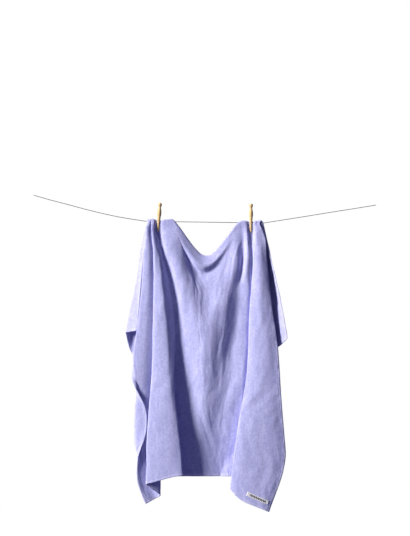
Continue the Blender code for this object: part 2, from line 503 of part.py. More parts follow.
def thickness_at(grid, full):
    """Full thickness, narrowing to the pinched thickness where a peg grips the cloth."""
    made = np.full(grid.shape[:2], full)
    for tip, axis in peg_axes():
        off = grid - np.array(tip)
        along = off @ np.array(axis)
        side = np.abs(off[..., 0] - along * axis[0])
        grip = smooth((0.0155 - side) / 0.005) * smooth((along + 0.016) / 0.010)
        made = made + (PINCHED_THICKNESS - made) * grip
    return made


def room_between_layers(grid):
    """How thick the cloth can be at each point before it meets another layer of itself."""
    rows, columns = grid.shape[:2]
    across = np.array([lengths(grid[r]) for r in range(rows)])
    down = np.array([lengths(grid[:, c]) for c in range(columns)]).T
    room = np.full((rows, columns), 1.0)
    for r in range(rows):
        for q in range(max(0, r - 12), min(rows, r + 13)):
            gap = np.linalg.norm(grid[r][:, None] - grid[q][None], axis=2)
            cloth = np.hypot(across[r][:, None] - across[q][None], down[r][:, None] - down[q][None])
            other = (cloth > 0.008) & (cloth > 1.9 * gap)
            room[r] = np.minimum(room[r], np.where(other, gap - LAYER_CLEAR, 1.0).min(axis=1))
    return np.maximum(room * 0.92, THINNEST)


def pressed_folds(grid):
    """A share of the thickness: 1, but less where the cloth turns sharply back on itself near a hem."""
    ahead = np.diff(grid, axis=1)
    ahead /= np.maximum(np.linalg.norm(ahead, axis=2, keepdims=True), 1e-9)
    turn = np.zeros(grid.shape[:2])
    turn[:, 1:-1] = 1 - np.sum(ahead[:, 1:] * ahead[:, :-1], axis=2)
    wide = turn.copy()
    for shift in (1, 2):
        wide[:, shift:] = np.maximum(wide[:, shift:], turn[:, :-shift])
        wide[:, :-shift] = np.maximum(wide[:, :-shift], turn[:, shift:])
    share = 1 - (1 - PRESSED) * smooth(wide / 0.6)
    share[3:-3, 4:-4] = 1.0
    return share


def slab(name, grid, normal, thickness, colour, roughness):
    """A closed body: the grid of points, thickened evenly to both sides."""
    rows, columns = grid.shape[:2]
    half = (thickness / 2)[..., None] if np.ndim(thickness) else thickness / 2
    front = (grid + normal * half).reshape(-1, 3)
    back = (grid - normal * half).reshape(-1, 3)
    count = rows * columns
    faces = []
    for r in range(rows - 1):
        for c in range(columns - 1):
            a, b, d, e = r * columns + c, r * columns + c + 1, (r + 1) * columns + c + 1, (r + 1) * columns + c
            faces.append((a, e, d, b))
            faces.append((count + a, count + b, count + d, count + e))
    ring = [c for c in range(columns)]
    ring += [r * columns + columns - 1 for r in range(1, rows)]
    ring += [(rows - 1) * columns + c for c in range(columns - 2, -1, -1)]
    ring += [r * columns for r in range(rows - 2, 0, -1)]
    for i, a in enumerate(ring):
        b = ring[(i + 1) % len(ring)]
        faces.append((a, b, count + b, count + a))
    return add_object(name, np.concatenate([front, back]), faces, colour, roughness)


def strip(name, path, side, normal, width, height, clear, colour, roughness):
    """A thread or band along a path: width across, standing clear of the surface."""
    side = side / np.linalg.norm(side, axis=1, keepdims=True)
    low, high = clear, clear + height
    corners = [(-width / 2, low), (width / 2, low), (width / 2, high), (-width / 2, high)]
    vertices = np.concatenate([path + side * a + normal * b for a, b in corners])
    n = len(path)
    faces = [(0, n, 2 * n, 3 * n), (n - 1, 4 * n - 1, 3 * n - 1, 2 * n - 1)]
    for i in range(n - 1):
        for j in range(4):
            a, b = j * n + i, ((j + 1) % 4) * n + i
            faces.append((a, a + 1, b + 1, b))
    return add_object(name, vertices, faces, colour, roughness)


# ---------------------------------------------------------------- pieces
LILAC = (0.55, 0.54, 0.80)
LILAC_HEM = (0.63, 0.62, 0.85)
THREAD = (0.70, 0.69, 0.88)


def build_cloth():
    grid, ridge = cloth_surface(PER_FOLD, FRONT_ROWS, BACK_ROWS)
    normal = surface_normals(grid)
    room = room_between_layers(grid)
    cloth = np.minimum(thickness_at(grid, PILE_THICKNESS), room) * pressed_folds(grid)
    hem = np.minimum(thickness_at(grid, HEM_THICKNESS), room) * pressed_folds(grid)
    rows = grid.shape[0]
    last_row = rows - 1
    # pressed flat in the folded corner of the back hem and where the right margin goes over the line
    for thickness in (cloth, hem):
        thickness[:4, :12] *= 0.6
        thickness[ridge - 1 : ridge + 2, -6:] *= 0.6

    # the parting between the front and back halves runs along the folded edge
    split_up = grid[ridge] + (grid[ridge - 1] - grid[ridge]) * 0.08
    split_down = grid[ridge] + (grid[ridge + 1] - grid[ridge]) * 0.08
    front = np.concatenate([split_down[None], grid[ridge + 1 : last_row - 1]])
    back = np.concatenate([grid[2 : ridge], split_up[None]])
    inner = slice(2, grid.shape[1] - 2)
    front_normal = normal[ridge : last_row - 1]
    back_normal = normal[2 : ridge + 1]
    slab("towel_front_panel", front[:, inner], front_normal[:, inner], cloth[ridge : last_row - 1, inner], LILAC, 0.95)
    slab("towel_back_panel", back[:, inner], back_normal[:, inner], cloth[2 : ridge + 1, inner], LILAC, 0.95)
    slab("front_end_hem", grid[last_row - 1 :, inner], normal[last_row - 1 :, inner], hem[last_row - 1 :, inner],
         LILAC_HEM, 0.8)
    slab("back_end_hem", grid[:2, inner], normal[:2, inner], hem[:2, inner], LILAC_HEM, 0.8)
    slab("left_side_hem", grid[:, :2], normal[:, :2], hem[:, :2], LILAC_HEM, 0.8)
    slab("right_side_hem", grid[:, -2:], normal[:, -2:], hem[:, -2:], LILAC_HEM, 0.8)

    # seams: one thread along each hem, on the outer face; the side ones down the front half
    share = SEAM_INSET / HEM_WIDTH
    outer = grid + normal * (hem / 2)[..., None]
    down = slice(ridge + SEAM_FIRST_ROW, last_row)
    for name, edge, next_in in (("left_side_seam", 0, 1), ("right_side_seam", -1, -2)):
        path = outer[down, edge] * (1 - share) + outer[down, next_in] * share
        width = outer[down, next_in] - outer[down, edge]
        clear = (THREAD_CLEAR + TURN_GAP * turning(width))[:, None]
        strip(name, path, width, normal[down, next_in], THREAD_WIDTH, THREAD_HEIGHT, clear, THREAD, 0.6)
    low = outer[-1, inner] * (1 - share) + outer[-2, inner] * share
    high = outer[0, inner] * (1 - share) + outer[1, inner] * share
    strip("front_end_seam", low[5:-5], (outer[-1, inner] - outer[-2, inner])[5:-5], normal[-1, inner][5:-5],
          THREAD_WIDTH, THREAD_HEIGHT, THREAD_CLEAR, THREAD, 0.6)
    strip("back_end_seam", high[5:-5], (outer[1, inner] - outer[0, inner])[5:-5], normal[0, inner][5:-5],
          THREAD_WIDTH, THREAD_HEIGHT, THREAD_CLEAR, THREAD, 0.6)
    return grid, normal


def build_label(grid):
    """The woven label on the front half near its lower right corner, and its generic zigzag mark."""
    front = bpy.data.objects["towel_front_panel"]
    tree = BVHTree.FromObject(front, bpy.context.evaluated_depsgraph_get())
    corner, along_end = grid[-1, -1], grid[-1, -9] - grid[-1, -1]
    along = along_end / np.linalg.norm(along_end)
    along[1] = 0.0
    along /= np.linalg.norm(along)
    up = np.array([-along[2], 0.0, along[0]])
    up = up if up[2] > 0 else -up
    origin = corner + along * (LABEL_FROM_SIDE) + up * LABEL_FROM_END

    def on_cloth(a, b, stand):
        start = origin + along * a + up * b
        hit, face_normal, _, _ = tree.ray_cast(Vector((start[0], -0.3, start[2])), Vector((0, 1, 0)))
        return np.array(hit) + np.array([0, -1, 0]) * stand

    def sheet(name, points_ab, faces, stand, thickness, colour, roughness):
        low = [on_cloth(a, b, stand) for a, b in points_ab]
        high = [on_cloth(a, b, stand + thickness) for a, b in points_ab]
        n = len(low)
        made = [tuple(f) for f in faces] + [tuple(n + i for i in f[::-1]) for f in faces]
        edges = {}
        for f in faces:
            for i, a in enumerate(f):
                edges[(a, f[(i + 1) % len(f)])] = True
        for a, b in edges:
            if (b, a) not in edges:
                made.append((b, a, n + a, n + b))
        return add_object(name, np.array(low + high), made, colour, roughness)

    steps, levels = 12, 2
    points = [(LABEL_LENGTH * i / steps, LABEL_HEIGHT * j / levels) for j in range(levels + 1) for i in range(steps + 1)]
    faces = []
    for j in range(levels):
        for i in range(steps):
            a = j * (steps + 1) + i
            faces.append((a, a + 1, a + steps + 2, a + steps + 1))
    sheet("label_patch", points, faces, LABEL_CLEAR, LABEL_THICKNESS, (0.90, 0.89, 0.86), 0.7)

    # one continuous zigzag line, woven in dark thread
    left, middle = (LABEL_LENGTH - MARK_LENGTH) / 2, LABEL_HEIGHT / 2
    points, faces = [], []
    for k in range(2 * MARK_TEETH + 1):
        a = left + MARK_LENGTH * k / (2 * MARK_TEETH)
        b = middle + (MARK_HEIGHT / 2 - MARK_STROKE / 2) * (1 if k % 2 else -1)
        points += [(a, b - MARK_STROKE / 2), (a, b + MARK_STROKE / 2)]
        if k:
            faces.append((2 * k - 2, 2 * k, 2 * k + 1, 2 * k - 1))
    sheet("label_mark", points, faces, LABEL_CLEAR + LABEL_THICKNESS + 0.0004, 0.0003, (0.10, 0.10, 0.14), 0.7)


def build_line():
    points = [(a, b, 0.0) for a, b in LINE_GRID]
    path = np.array([((a - COLUMN_0) * SQUARE, 0.0, (ROW_0 - b) * SQUARE) for a, b, _ in points])
    left, _ = spline(path[:8], 2)
    right, _ = spline(path[8:], 2)
    path = np.concatenate([left, right])
    vertices, faces = [], []
    for i, p in enumerate(path):
        ahead = path[min(i + 1, len(path) - 1)] - path[max(i - 1, 0)]
        ahead /= np.linalg.norm(ahead)
        up = np.array([-ahead[2], 0.0, ahead[0]])
        for k in range(LINE_SIDES):
            turn = 2 * math.pi * (k + 0.5) / LINE_SIDES
            vertices.append(p + up * LINE_RADIUS * math.cos(turn) + np.array([0, 1, 0]) * LINE_RADIUS * math.sin(turn))
    for i in range(len(path) - 1):
        for k in range(LINE_SIDES):
            a, b = i * LINE_SIDES + k, i * LINE_SIDES + (k + 1) % LINE_SIDES
            faces.append((a, b, b + LINE_SIDES, a + LINE_SIDES))
    faces.append(tuple(range(LINE_SIDES)))
    faces.append(tuple(range(len(vertices) - 1, len(vertices) - LINE_SIDES - 1, -1)))
    add_object("clothes_line", np.array(vertices), faces, (0.20, 0.20, 0.21), 0.5)


def build_peg(name, tip, axis):
    """A turned wooden peg, with a straight slot cut up from its tip."""
    bm = bmesh.new()
    rings = []
    for height, radius in PEG_PROFILE:
        rings.append([bm.verts.new((radius * math.cos(2 * math.pi * k / PEG_SIDES),
                                    radius * math.sin(2 * math.pi * k / PEG_SIDES), height))
                      for k in range(PEG_SIDES)])
    top = bm.verts.new((0, 0, PEG_LENGTH))
    bottom = bm.verts.new((0, 0, 0))
    for low, high in zip(rings, rings[1:]):
        for k in range(PEG_SIDES):
            bm.faces.new((low[k], low[(k + 1) % PEG_SIDES], high[(k + 1) % PEG_SIDES], high[k]))
    for k in range(PEG_SIDES):
        bm.faces.new((rings[-1][k], rings[-1][(k + 1) % PEG_SIDES], top))
        bm.faces.new((rings[0][(k + 1) % PEG_SIDES], rings[0][k], bottom))
    bmesh.ops.recalc_face_normals(bm, faces=bm.faces)
    mesh = bpy.data.meshes.new(name)
    bm.to_mesh(mesh)
    bm.free()
    peg = bpy.data.objects.new(name, mesh)
    bpy.context.scene.collection.objects.link(peg)
    mesh.materials.append(material(name + "_material", (0.80, 0.63, 0.36), 0.6))
    turn = Vector((0, 0, 1)).rotation_difference(axis)
    peg.location, peg.rotation_mode, peg.rotation_quaternion = tip, "QUATERNION", turn

    # slot: straight cheeks, round at the top
    outline = [(-PEG_SLOT / 2, -0.01), (PEG_SLOT / 2, -0.01)]
    outline += [(PEG_SLOT / 2 * math.cos(math.pi * k / 8), PEG_SLOT_DEPTH - PEG_SLOT / 2 + PEG_SLOT / 2 * math.sin(math.pi * k / 8))
                for k in range(9)]
    vertices = [(x, y, z) for x in (-0.02, 0.02) for y, z in outline]
    n = len(outline)
    faces = [tuple(range(n)), tuple(range(2 * n - 1, n - 1, -1))]
    faces += [(i, n + i, n + (i + 1) % n, (i + 1) % n) for i in range(n)]
    cutter = add_object(name + "_slot_cutter", vertices, faces, (0.5, 0.5, 0.5), 0.5)
    cutter.location, cutter.rotation_mode, cutter.rotation_quaternion = tip, "QUATERNION", turn
    cutter.hide_render = True
    cutter.display_type = "WIRE"
    cut = peg.modifiers.new("slot", "BOOLEAN")
    cut.operation, cut.solver, cut.object = "DIFFERENCE", "EXACT", cutter


def main():
    clear_scene()
    build_line()
    grid, _ = build_cloth()
    build_label(grid)
    for name, (tip, axis) in zip(("left_peg", "right_peg"), peg_axes()):
        build_peg(name, tip, axis)


main()
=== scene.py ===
"""Looks of the quick dry towel on its line: velour cloth with stitched hems, wooden dolly pegs, a cord.

The cloth is one closed sheet laid out on the same fold lines as the CAD panels, and stands for
them and for the hems. Metres, +Z up, -Y towards the front.
"""

import math

import bmesh
import bpy
import numpy as np
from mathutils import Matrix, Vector
from mathutils.bvhtree import BVHTree


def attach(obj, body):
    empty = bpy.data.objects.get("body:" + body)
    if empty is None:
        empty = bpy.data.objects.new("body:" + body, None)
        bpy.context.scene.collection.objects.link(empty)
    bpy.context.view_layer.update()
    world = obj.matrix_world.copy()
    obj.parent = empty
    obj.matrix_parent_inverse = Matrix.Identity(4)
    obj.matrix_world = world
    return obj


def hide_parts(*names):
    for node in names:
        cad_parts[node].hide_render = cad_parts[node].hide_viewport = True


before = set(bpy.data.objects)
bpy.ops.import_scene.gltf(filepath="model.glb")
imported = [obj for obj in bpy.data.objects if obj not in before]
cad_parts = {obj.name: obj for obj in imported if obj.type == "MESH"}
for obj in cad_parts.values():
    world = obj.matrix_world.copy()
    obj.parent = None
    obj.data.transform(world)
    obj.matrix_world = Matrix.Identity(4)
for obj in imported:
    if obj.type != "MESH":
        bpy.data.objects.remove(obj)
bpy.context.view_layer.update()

# ---------------------------------------------------------------- layout grid
SQUARE = 0.00385  # one square of the layout grid
COLUMN_0 = 205.0  # the grid column at x = 0
ROW_0 = 222.15  # the grid row at z = 0
HANG_BACK = 0.018  # how far the whole hanging cloth settles back under the line
HANG_FROM_ROW, HANG_OVER_ROWS = 238.0, 110.0

# ---------------------------------------------------------------- cloth
TOWEL_LENGTH = 1.600
PILE_THICKNESS = 0.0034  # velour cloth, uncompressed
PINCHED_THICKNESS = 0.0011  # where a peg grips it
PRESSED = 0.45  # share of the thickness left at a sharp turn in a hem
THINNEST = 0.0006  # layers pressed together flatten the pile down to this at most
HEM_THICKNESS = 0.0030  # cloth turned over and stitched flat
HEM_WIDTH = 0.011
JOIN_GAP = 0.0003  # half of the parting between two pieces of the one cloth
END_GAP = 0.0012  # the same, along an end hem
TURN_GAP = 0.0022  # what a side hem's parting gains for each radian that the margin turns over between rows
FRONT_NEAR_ROWS = (0.0, 0.006, 0.016, 0.032, 0.049, 0.066, 0.088)  # distances down from the folded edge
BACK_NEAR_ROWS = (0.0, 0.006, 0.016, 0.032, 0.049, 0.070)
FRONT_ROWS = 24
BACK_ROWS = 13
PER_FOLD = 2  # mesh columns from one fold line to the next

# ---------------------------------------------------------------- seams and label
THREAD_WIDTH = 0.0009
THREAD_HEIGHT = 0.0006
THREAD_CLEAR = 0.0008
SEAM_FIRST_ROW = 6  # the side seams are drawn from this row below the line
SEAM_INSET = 0.0085  # seam line, measured in from the edge of the cloth
LABEL_LENGTH, LABEL_HEIGHT = 0.090, 0.016
LABEL_THICKNESS = 0.0007
LABEL_FROM_SIDE, LABEL_FROM_END = 0.017, 0.024
MARK_LENGTH, MARK_HEIGHT, MARK_STROKE = 0.066, 0.0060, 0.0017
MARK_TEETH = 9
LABEL_CLEAR = 0.0008

# ---------------------------------------------------------------- line
LINE_RADIUS = 0.00125
LINE_SIDES = 10
LINE_GRID = (
    (33.5, 195.1), (50, 199.9), (67, 204.3), (84, 208.9), (102.6, 213.5),
    (118, 216.8), (132, 219.2), (146, 221.3), (264, 223.0), (282, 220.1),
    (305, 216.5), (330, 212.4), (353, 208.8), (376.3, 205.0),
)

# ---------------------------------------------------------------- pegs
PEG_LENGTH = 0.1115
PEG_SLOT = 0.0069
PEG_SLOT_DEPTH = 0.062
PEG_SLOT_MIDDLE = 0.00165  # the slot's middle plane stands this far in front of the line's axis
PEG_SIDES = 20
# height above the tip, radius
PEG_PROFILE = (
    (0.0000, 0.0038), (0.0016, 0.0047), (0.0060, 0.0052), (0.0200, 0.0057),
    (0.0380, 0.0063), (0.0560, 0.0071), (0.0690, 0.0077), (0.0760, 0.0076),
    (0.0830, 0.0068), (0.0890, 0.0055), (0.0935, 0.0047), (0.0965, 0.0049),
    (0.0990, 0.0061), (0.1018, 0.0070), (0.1045, 0.0073), (0.1072, 0.0068),
    (0.1095, 0.0052), (0.1109, 0.0029),
)
# grid column and row of the tip, and of the middle of the head
LEFT_PEG_GRID = ((157.9, 231.6), (160.1, 204.5))
RIGHT_PEG_GRID = ((250.8, 232.6), (251.1, 206.9))

# ---------------------------------------------------------------- folds of the front half
# From the left side edge to the right side edge; each starts at the fold over the line.
FRONT_FOLDS = (
    # the free left side edge: behind the first fold, then out to the side and round to the front
    ((146.9, 220.3, 5), (147.0, 228, 8), (148.4, 240, 8), (148.4, 251, 8.5), (146, 283, 10), (143, 316, 12),
     (139.4, 341, 15), (136.4, 358, 19), (132.6, 369, 27), (131.6, 377, 36), (134.3, 385, 46), (137.8, 391.5, 51),
     (142.5, 399, 50), (146, 407, 47), (147.4, 416, 45), (146.2, 434, 44), (143.2, 443, 45), (140.3, 451, 45),
     (138.2, 458, 42), (137.1, 467, 37), (137.3, 481, 34), (139.4, 488, 32), (141.9, 495, 30), (145.6, 503.6, 29)),
    # outer left fold
    ((149.9, 219.9, 5), (146.2, 228, 19), (145.8, 238, 20), (144.3, 251, 21), (142.2, 283, 24), (138.9, 316, 30),
     (135.3, 341, 34), (133.4, 360, 36), (134.8, 370, 40), (136.3, 377, 40), (137.3, 385, 40), (137.0, 392, 38),
     (135.7, 405, 36), (135.1, 420, 35), (135.1, 437, 33), (136.2, 449, 31), (139.0, 456, 30), (141.3, 462, 29), (142.0, 470, 28),
     (142.9, 481, 27), (145, 488.5, 26), (147.4, 495, 26), (150.6, 501, 25)),
    ((150.7, 219.7, 5), (148.9, 228, 19), (149.6, 240, 21), (149.6, 251, 24), (149.2, 283, 28), (147.6, 316, 34),
     (146.0, 341, 37), (145.2, 360, 38), (145.2, 377, 38), (145.4, 392, 36), (145, 405, 33), (146, 420, 30),
     (147, 437, 27), (148, 455, 23), (149, 467, 21), (150, 481, 20), (152, 488, 20), (154, 494, 20), (155.8, 498.2, 20)),
    # inner fold hidden behind the left panel
    ((151.4, 219.6, 5), (151.4, 228, 12), (154, 240, 13), (157.5, 251, 13), (159.5, 283, 14), (160, 316, 14),
     (160, 341, 14), (160.2, 360, 14), (160.4, 385, 15), (160.5, 410, 16), (160.5, 440, 17), (160.5, 462, 19),
     (160.5, 478.8, 22), (160.4, 495.5, 25)),
    # left edge of the left panel
    ((152.1, 219.4, 5), (152.0, 228, 18), (152.4, 240, 22), (153.6, 248.5, 26), (154.2, 277.5, 33), (153.5, 316, 41),
     (152.7, 360, 47), (151.9, 376, 49), (148.7, 417.5, 54), (147.4, 440, 54), (146.8, 459, 52), (146.4, 473.5, 50),
     (146.6, 483.5, 48)),
    ((153.8, 219.6, 5), (154.2, 228, 15), (155.1, 240, 22), (156.2, 250, 28), (157, 277.5, 38), (157.7, 316, 47),
     (157.7, 360, 54), (157.4, 376, 56), (155.5, 417, 60), (154.5, 440, 60), (154.2, 459, 58), (154, 473, 56),
     (154.5, 481, 54)),
    # left side of the left peg's grip
    ((156.4, 220.5, 3.2), (156.1, 228, 4.2), (156.0, 233, 4.4), (156.4, 237, 10), (157.3, 245, 20), (159, 255, 27), (161.5, 277.5, 38),
     (164.5, 300, 47), (166.5, 321, 51), (167.6, 351, 56), (168.2, 364, 58), (171, 393, 62), (172.5, 425, 63),
     (173, 449, 62), (172.8, 475.7, 58)),
    # right edge of the left panel
    ((158.0, 220.75, 2.9), (157.6, 228, 3.6), (157.3, 233.2, 3.65), (157.6, 237, 6), (158.8, 245, 12), (161, 255, 20), (164, 277, 30),
     (167, 300, 37), (170, 325, 42), (171.8, 351, 48), (172.6, 364, 51), (174.5, 393, 56), (178, 425, 58),
     (181, 449, 58), (183, 474.4, 56)),
    # first valley, springing from the peg's tip
    ((159.6, 220.8, 2.9), (159.1, 228, 3.6), (158.7, 233.2, 3.65), (160.2, 245, 7), (163, 257, 7), (167, 273, 7),
     (170.6, 292, 7), (174.5, 321, 9), (175.5, 351, 11), (174.5, 364, 13), (174, 393, 15), (174.5, 425, 16),
     (175, 449, 12), (175.5, 476.5, 10)),
    ((161.2, 220.8, 2.9), (160.6, 228, 3.6), (160.3, 233.2, 3.65), (162.5, 245, 9), (166, 257, 11), (170.5, 273, 12),
     (174.5, 292, 13), (179, 321, 14), (181.5, 351, 15), (182, 364, 16), (184, 393, 17), (187, 425, 15),
     (190, 449, 8), (193, 476.8, 6)),
    ((163.2, 220.5, 3.4), (163.2, 228, 7), (164, 238, 14), (168, 251, 22), (173.5, 268, 28), (178, 285, 32),
     (184, 309, 34), (189, 333, 34), (190, 364, 32), (192, 393, 33), (196, 425, 36), (200, 449, 38), (203, 476.8, 40)),
    # bright ridge left of the middle
    ((167.2, 220.2, 5), (168, 228, 9), (171, 238, 17), (176, 252, 26), (180.5, 268, 34), (185, 285, 40),
     (192.4, 309, 45), (197.2, 333, 46), (198.8, 364, 44), (199.7, 388, 43), (200.9, 413, 42), (203.5, 445, 43),
     (208, 476.8, 44)),
    ((172.3, 219.9, 5), (173.8, 226, 9), (177, 235, 14), (181.5, 244.8, 18), (186, 262, 20), (191.5, 280, 22),
     (197, 297, 28), (202.5, 312, 34), (205, 333, 38), (206, 364, 40), (206.5, 393, 41), (208, 420, 42),
     (210, 449, 44), (212, 476.8, 45)),
    # the slack top edge between the pegs: a soft roll with a tuck below it
    ((178.6, 226.6, 5), (179.2, 233, 12), (180.6, 241, 16), (183.2, 248.5, 15), (185.5, 254.5, 8), (188.5, 266, 7),
     (194, 283, 8), (199.5, 300, 14), (205.5, 320, 24), (209, 345, 32), (210.5, 376, 37), (211, 405, 40),
     (213, 440, 43), (215.5, 476.8, 45)),
    ((188.4, 240.3, 5), (188.6, 246.5, 14), (189.2, 253, 20), (190.4, 258, 17), (192, 262.5, 8), (194.5, 273, 5),
     (198, 285, 8), (203, 300, 14), (208, 318, 22), (212, 345, 31), (213.5, 376, 36), (214, 405, 39),
     (216, 440, 43), (218, 476.8, 45)),
    ((195.6, 249.5, 5), (195.9, 255.5, 16), (196.3, 262, 24), (197, 266.8, 20), (198, 269.7, 10), (199.5, 277, 7),
     (202, 288, 12), (206, 302, 18), (210.5, 320, 25), (214.5, 345, 31), (216, 376, 35), (216.5, 405, 37),
     (218, 440, 40), (220, 476.8, 43)),
    ((202.6, 255.5, 5), (203.0, 261, 18), (203.3, 266.5, 25), (203.6, 270, 20), (204, 272.5, 11), (204.5, 279, 12),
     (206, 290, 17), (209.5, 304, 22), (213.5, 322, 27), (217, 345, 31), (218.5, 376, 33), (218.5, 405, 33),
     (220, 440, 37), (222, 476.8, 41)),
    ((209.6, 256.0, 5), (209.4, 261, 18), (209, 265.5, 23), (209, 268.5, 18), (209.3, 271, 12), (210, 279, 17),
     (211.5, 290, 22), (214, 304, 26), (217.5, 322, 29), (220.5, 345, 31), (221, 376, 29), (220.5, 405, 29),
     (221.5, 440, 34), (223.5, 476.8, 39)),
    ((216, 251.0, 5), (215.8, 256, 14), (215.3, 261, 20), (215.5, 264.5, 16), (216, 267.5, 13), (217, 277, 21),
     (218, 290, 26), (219.5, 304, 29), (221.5, 322, 30), (223, 345, 29), (222, 376, 24), (221.5, 405, 26),
     (223, 440, 33), (225, 476.8, 38)),
    ((222.5, 243, 5), (222, 249, 12), (221.8, 253.5, 16), (222.4, 257.5, 13), (223, 262, 15), (224.5, 275, 25),
     (225, 290, 30), (226, 304, 31), (227.3, 322, 29), (226.5, 345, 24), (224, 364, 17), (223.2, 385, 20),
     (223.5, 405, 26), (225, 440, 33), (227, 476.8, 37)),
    ((229.5, 234, 5), (228.8, 240, 10), (228.6, 244, 12), (229, 249, 12), (230.3, 256, 18), (231.5, 272, 28),
     (231.5, 290, 30), (231.2, 304, 28), (230.5, 322, 22), (229.4, 343, 14), (228, 364, 17), (227, 385, 24),
     (227, 405, 29), (228, 440, 32), (229, 476.8, 32)),
    ((236.3, 225.0, 5), (236.2, 231, 8), (236.3, 238, 11), (237, 250, 18), (237.6, 265, 24), (237, 280, 25),
     (235.9, 297, 20), (234.2, 315, 13), (232.6, 335, 14), (231, 352, 23), (230, 376, 33), (230.5, 405, 35),
     (231, 440, 32), (231.5, 476.8, 27)),
    # second valley at its top
    ((241.2, 221.5, 5), (242.4, 227, 6.5), (243.5, 235, 7), (243.3, 248.5, 8), (241.5, 268, 9), (240.0, 282, 11),
     (239.0, 297, 16), (238.3, 315, 26), (238.0, 340, 38), (237.0, 365, 44), (235.8, 388, 43), (234, 410, 40),
     (233.5, 440, 34), (234, 476.8, 22)),
    # ridge left of the right peg
    ((245.6, 221.5, 5), (246.6, 227, 9), (247.2, 238, 16), (247, 250, 24), (245.8, 268, 32), (244.6, 285, 39),
     (243, 303, 43), (242, 321, 46), (241, 352, 47), (239.5, 375, 45), (237.5, 395, 42), (236, 420, 36),
     (236, 440, 30), (236.5, 476.8, 18)),
    ((248.6, 221.9, 3.2), (248.6, 228, 3.8), (248.6, 233.8, 4.0), (248.9, 239, 9), (249.5, 250, 22), (249.3, 262, 29), (248, 285, 33),
     (246.2, 309, 35), (245.2, 335, 36), (244.5, 352, 35), (243.5, 375, 33), (242, 400, 28), (241, 425, 23),
     (240, 449, 18), (239.5, 476.8, 12)),
    # hidden pleat behind the right panel
    ((250.9, 222.1, 2.9), (250.9, 228, 3.6), (250.9, 234, 3.65), (251.5, 245, 10), (252.0, 258, 18), (251.5, 285, 22),
     (250.5, 309, 22), (250.5, 335, 20), (250.5, 352, 18), (250.2, 375, 16), (249, 400, 13), (246.5, 425, 4),
     (244.6, 449, -9), (243, 480, -15)),
    # left edge of the right panel
    ((253.0, 222.0, 3.2), (253.1, 228, 3.8), (253.2, 233.8, 4.0), (253.3, 239, 9), (253.7, 247, 20), (254.0, 258, 28), (252, 285, 36),
     (249.6, 309, 41), (248.3, 351.5, 46), (247, 370, 48), (243.4, 394.5, 51), (238.5, 425, 53), (234.9, 449, 52),
     (231.9, 471, 49), (230, 487.5, 47)),
    ((255.0, 221.8, 4.5), (255.3, 228, 9), (255.7, 236, 15), (256.7, 247, 25), (257, 258, 33), (255.5, 285, 43),
     (254, 309, 48), (253, 351, 54), (252, 370, 56), (249.5, 394, 59), (245.5, 425, 61), (242.5, 449, 59),
     (240, 471, 56), (239.5, 498, 53)),
    ((256.6, 221.5, 5), (255.8, 225, 9), (257.3, 230, 12), (259.3, 236, 14), (260.4, 247, 24), (260.8, 258, 33), (260, 285, 47),
     (260, 309, 53), (258.5, 351, 59), (256.5, 375, 60), (256, 400, 61), (257, 425, 62.5), (259, 449, 60),
     (262, 473, 55), (257, 506, 51)),
    ((258.2, 221.1, 5), (256.9, 224.4, 8.5), (258.7, 230, 12), (261.2, 237.5, 14), (262.6, 250, 24), (263.6, 262, 32),
     (265, 285, 43), (267, 309, 50), (268, 351, 59), (269, 390, 60), (272, 425, 60), (274.5, 449, 57),
     (274.5, 470, 53), (265, 509.3, 48)),
    # the free right side edge
    ((261.2, 220.9, 5), (259.7, 223.4, 8.5), (261.6, 227.8, 9.5), (264.4, 235, 10.5), (266.2, 243, 14), (266.3, 250, 18),
     (267.2, 262, 25), (268.8, 285, 36), (271.2, 303, 42), (274.8, 327, 48), (277.8, 349, 51), (280.8, 395.7, 52),
     (284, 435, 49), (285.4, 454, 47), (284.3, 463, 45), (281, 477, 44), (268.7, 511.1, 44)),
)

# How far forward the broad middle of the front half stands, by row and by column: a low crown that
# runs down and to the left from under the slack edge, with a valley on each side of it.
RELIEF_COLUMNS = (180, 184, 188, 192, 196, 200, 204, 208, 212, 216, 220, 224, 228, 232, 236, 240, 244, 248)
RELIEF = (
    (285, (33, 39, 40, 35, 28, 23, 21, 22, 25, 28, 31, 33, 32, 28, 22, 18, 24, 28)),
    (300, (31, 39, 44, 45, 41, 35, 31, 31, 34, 39, 43, 44, 40, 33, 25, 22, 27, 27)),
    (312, (27, 34, 41, 46, 47, 45, 42, 42, 44, 45, 45, 42, 36, 28, 21, 23, 27, 26)),
    (325, (22, 29, 36, 42, 47, 50, 51, 51, 51, 49, 46, 42, 35, 27, 22, 26, 28, 26)),
    (350, (22, 26, 31, 37, 42, 47, 51, 52, 50, 46, 41, 34, 26, 22, 26, 29, 30, 29)),
    (375, (20, 22, 25, 30, 37, 43, 46, 46, 43, 38, 33, 29, 28, 31, 33, 35, 35, 34)),
    (400, (16, 17, 18, 21, 27, 33, 37, 37, 34, 31, 29, 29, 30, 31, 32, 31, 30, 29)),
    (425, (14, 14, 15, 17, 19, 22, 23, 21, 19, 17, 16, 16, 17, 17, 17, 17, 16, 15)),
    (450, (8, 8, 8, 8, 8, 7.5, 7, 6, 5, 3.5, 2, 1, 0, 0, 0, 0, -1, -2)),
    (477, (6, 6, 6, 6, 6, 5.5, 5, 4, 2.5, 0.5, -2, -4, -5.5, -6.5, -7, -7, -8, -9)),
)
BACK_END_ROW = 350.0  # below this row the front half hangs alone
RELIEF_FROM_ROW, RELIEF_FULL_ROW = 274.0, 285.0
RELIEF_FOLDS = range(10, 25)
EVEN_FROM_ROW, EVEN_FULL_ROW, EVEN_SHARE = 276.0, 312.0, 0.85
RELIEF_ROWS = (286.0, 297.0, 308.0, 319.0, 330.0, 341.0, 353.0, 365.0, 377.0, 389.0, 401.0, 413.0, 425.0, 437.0,
               449.0, 463.0)

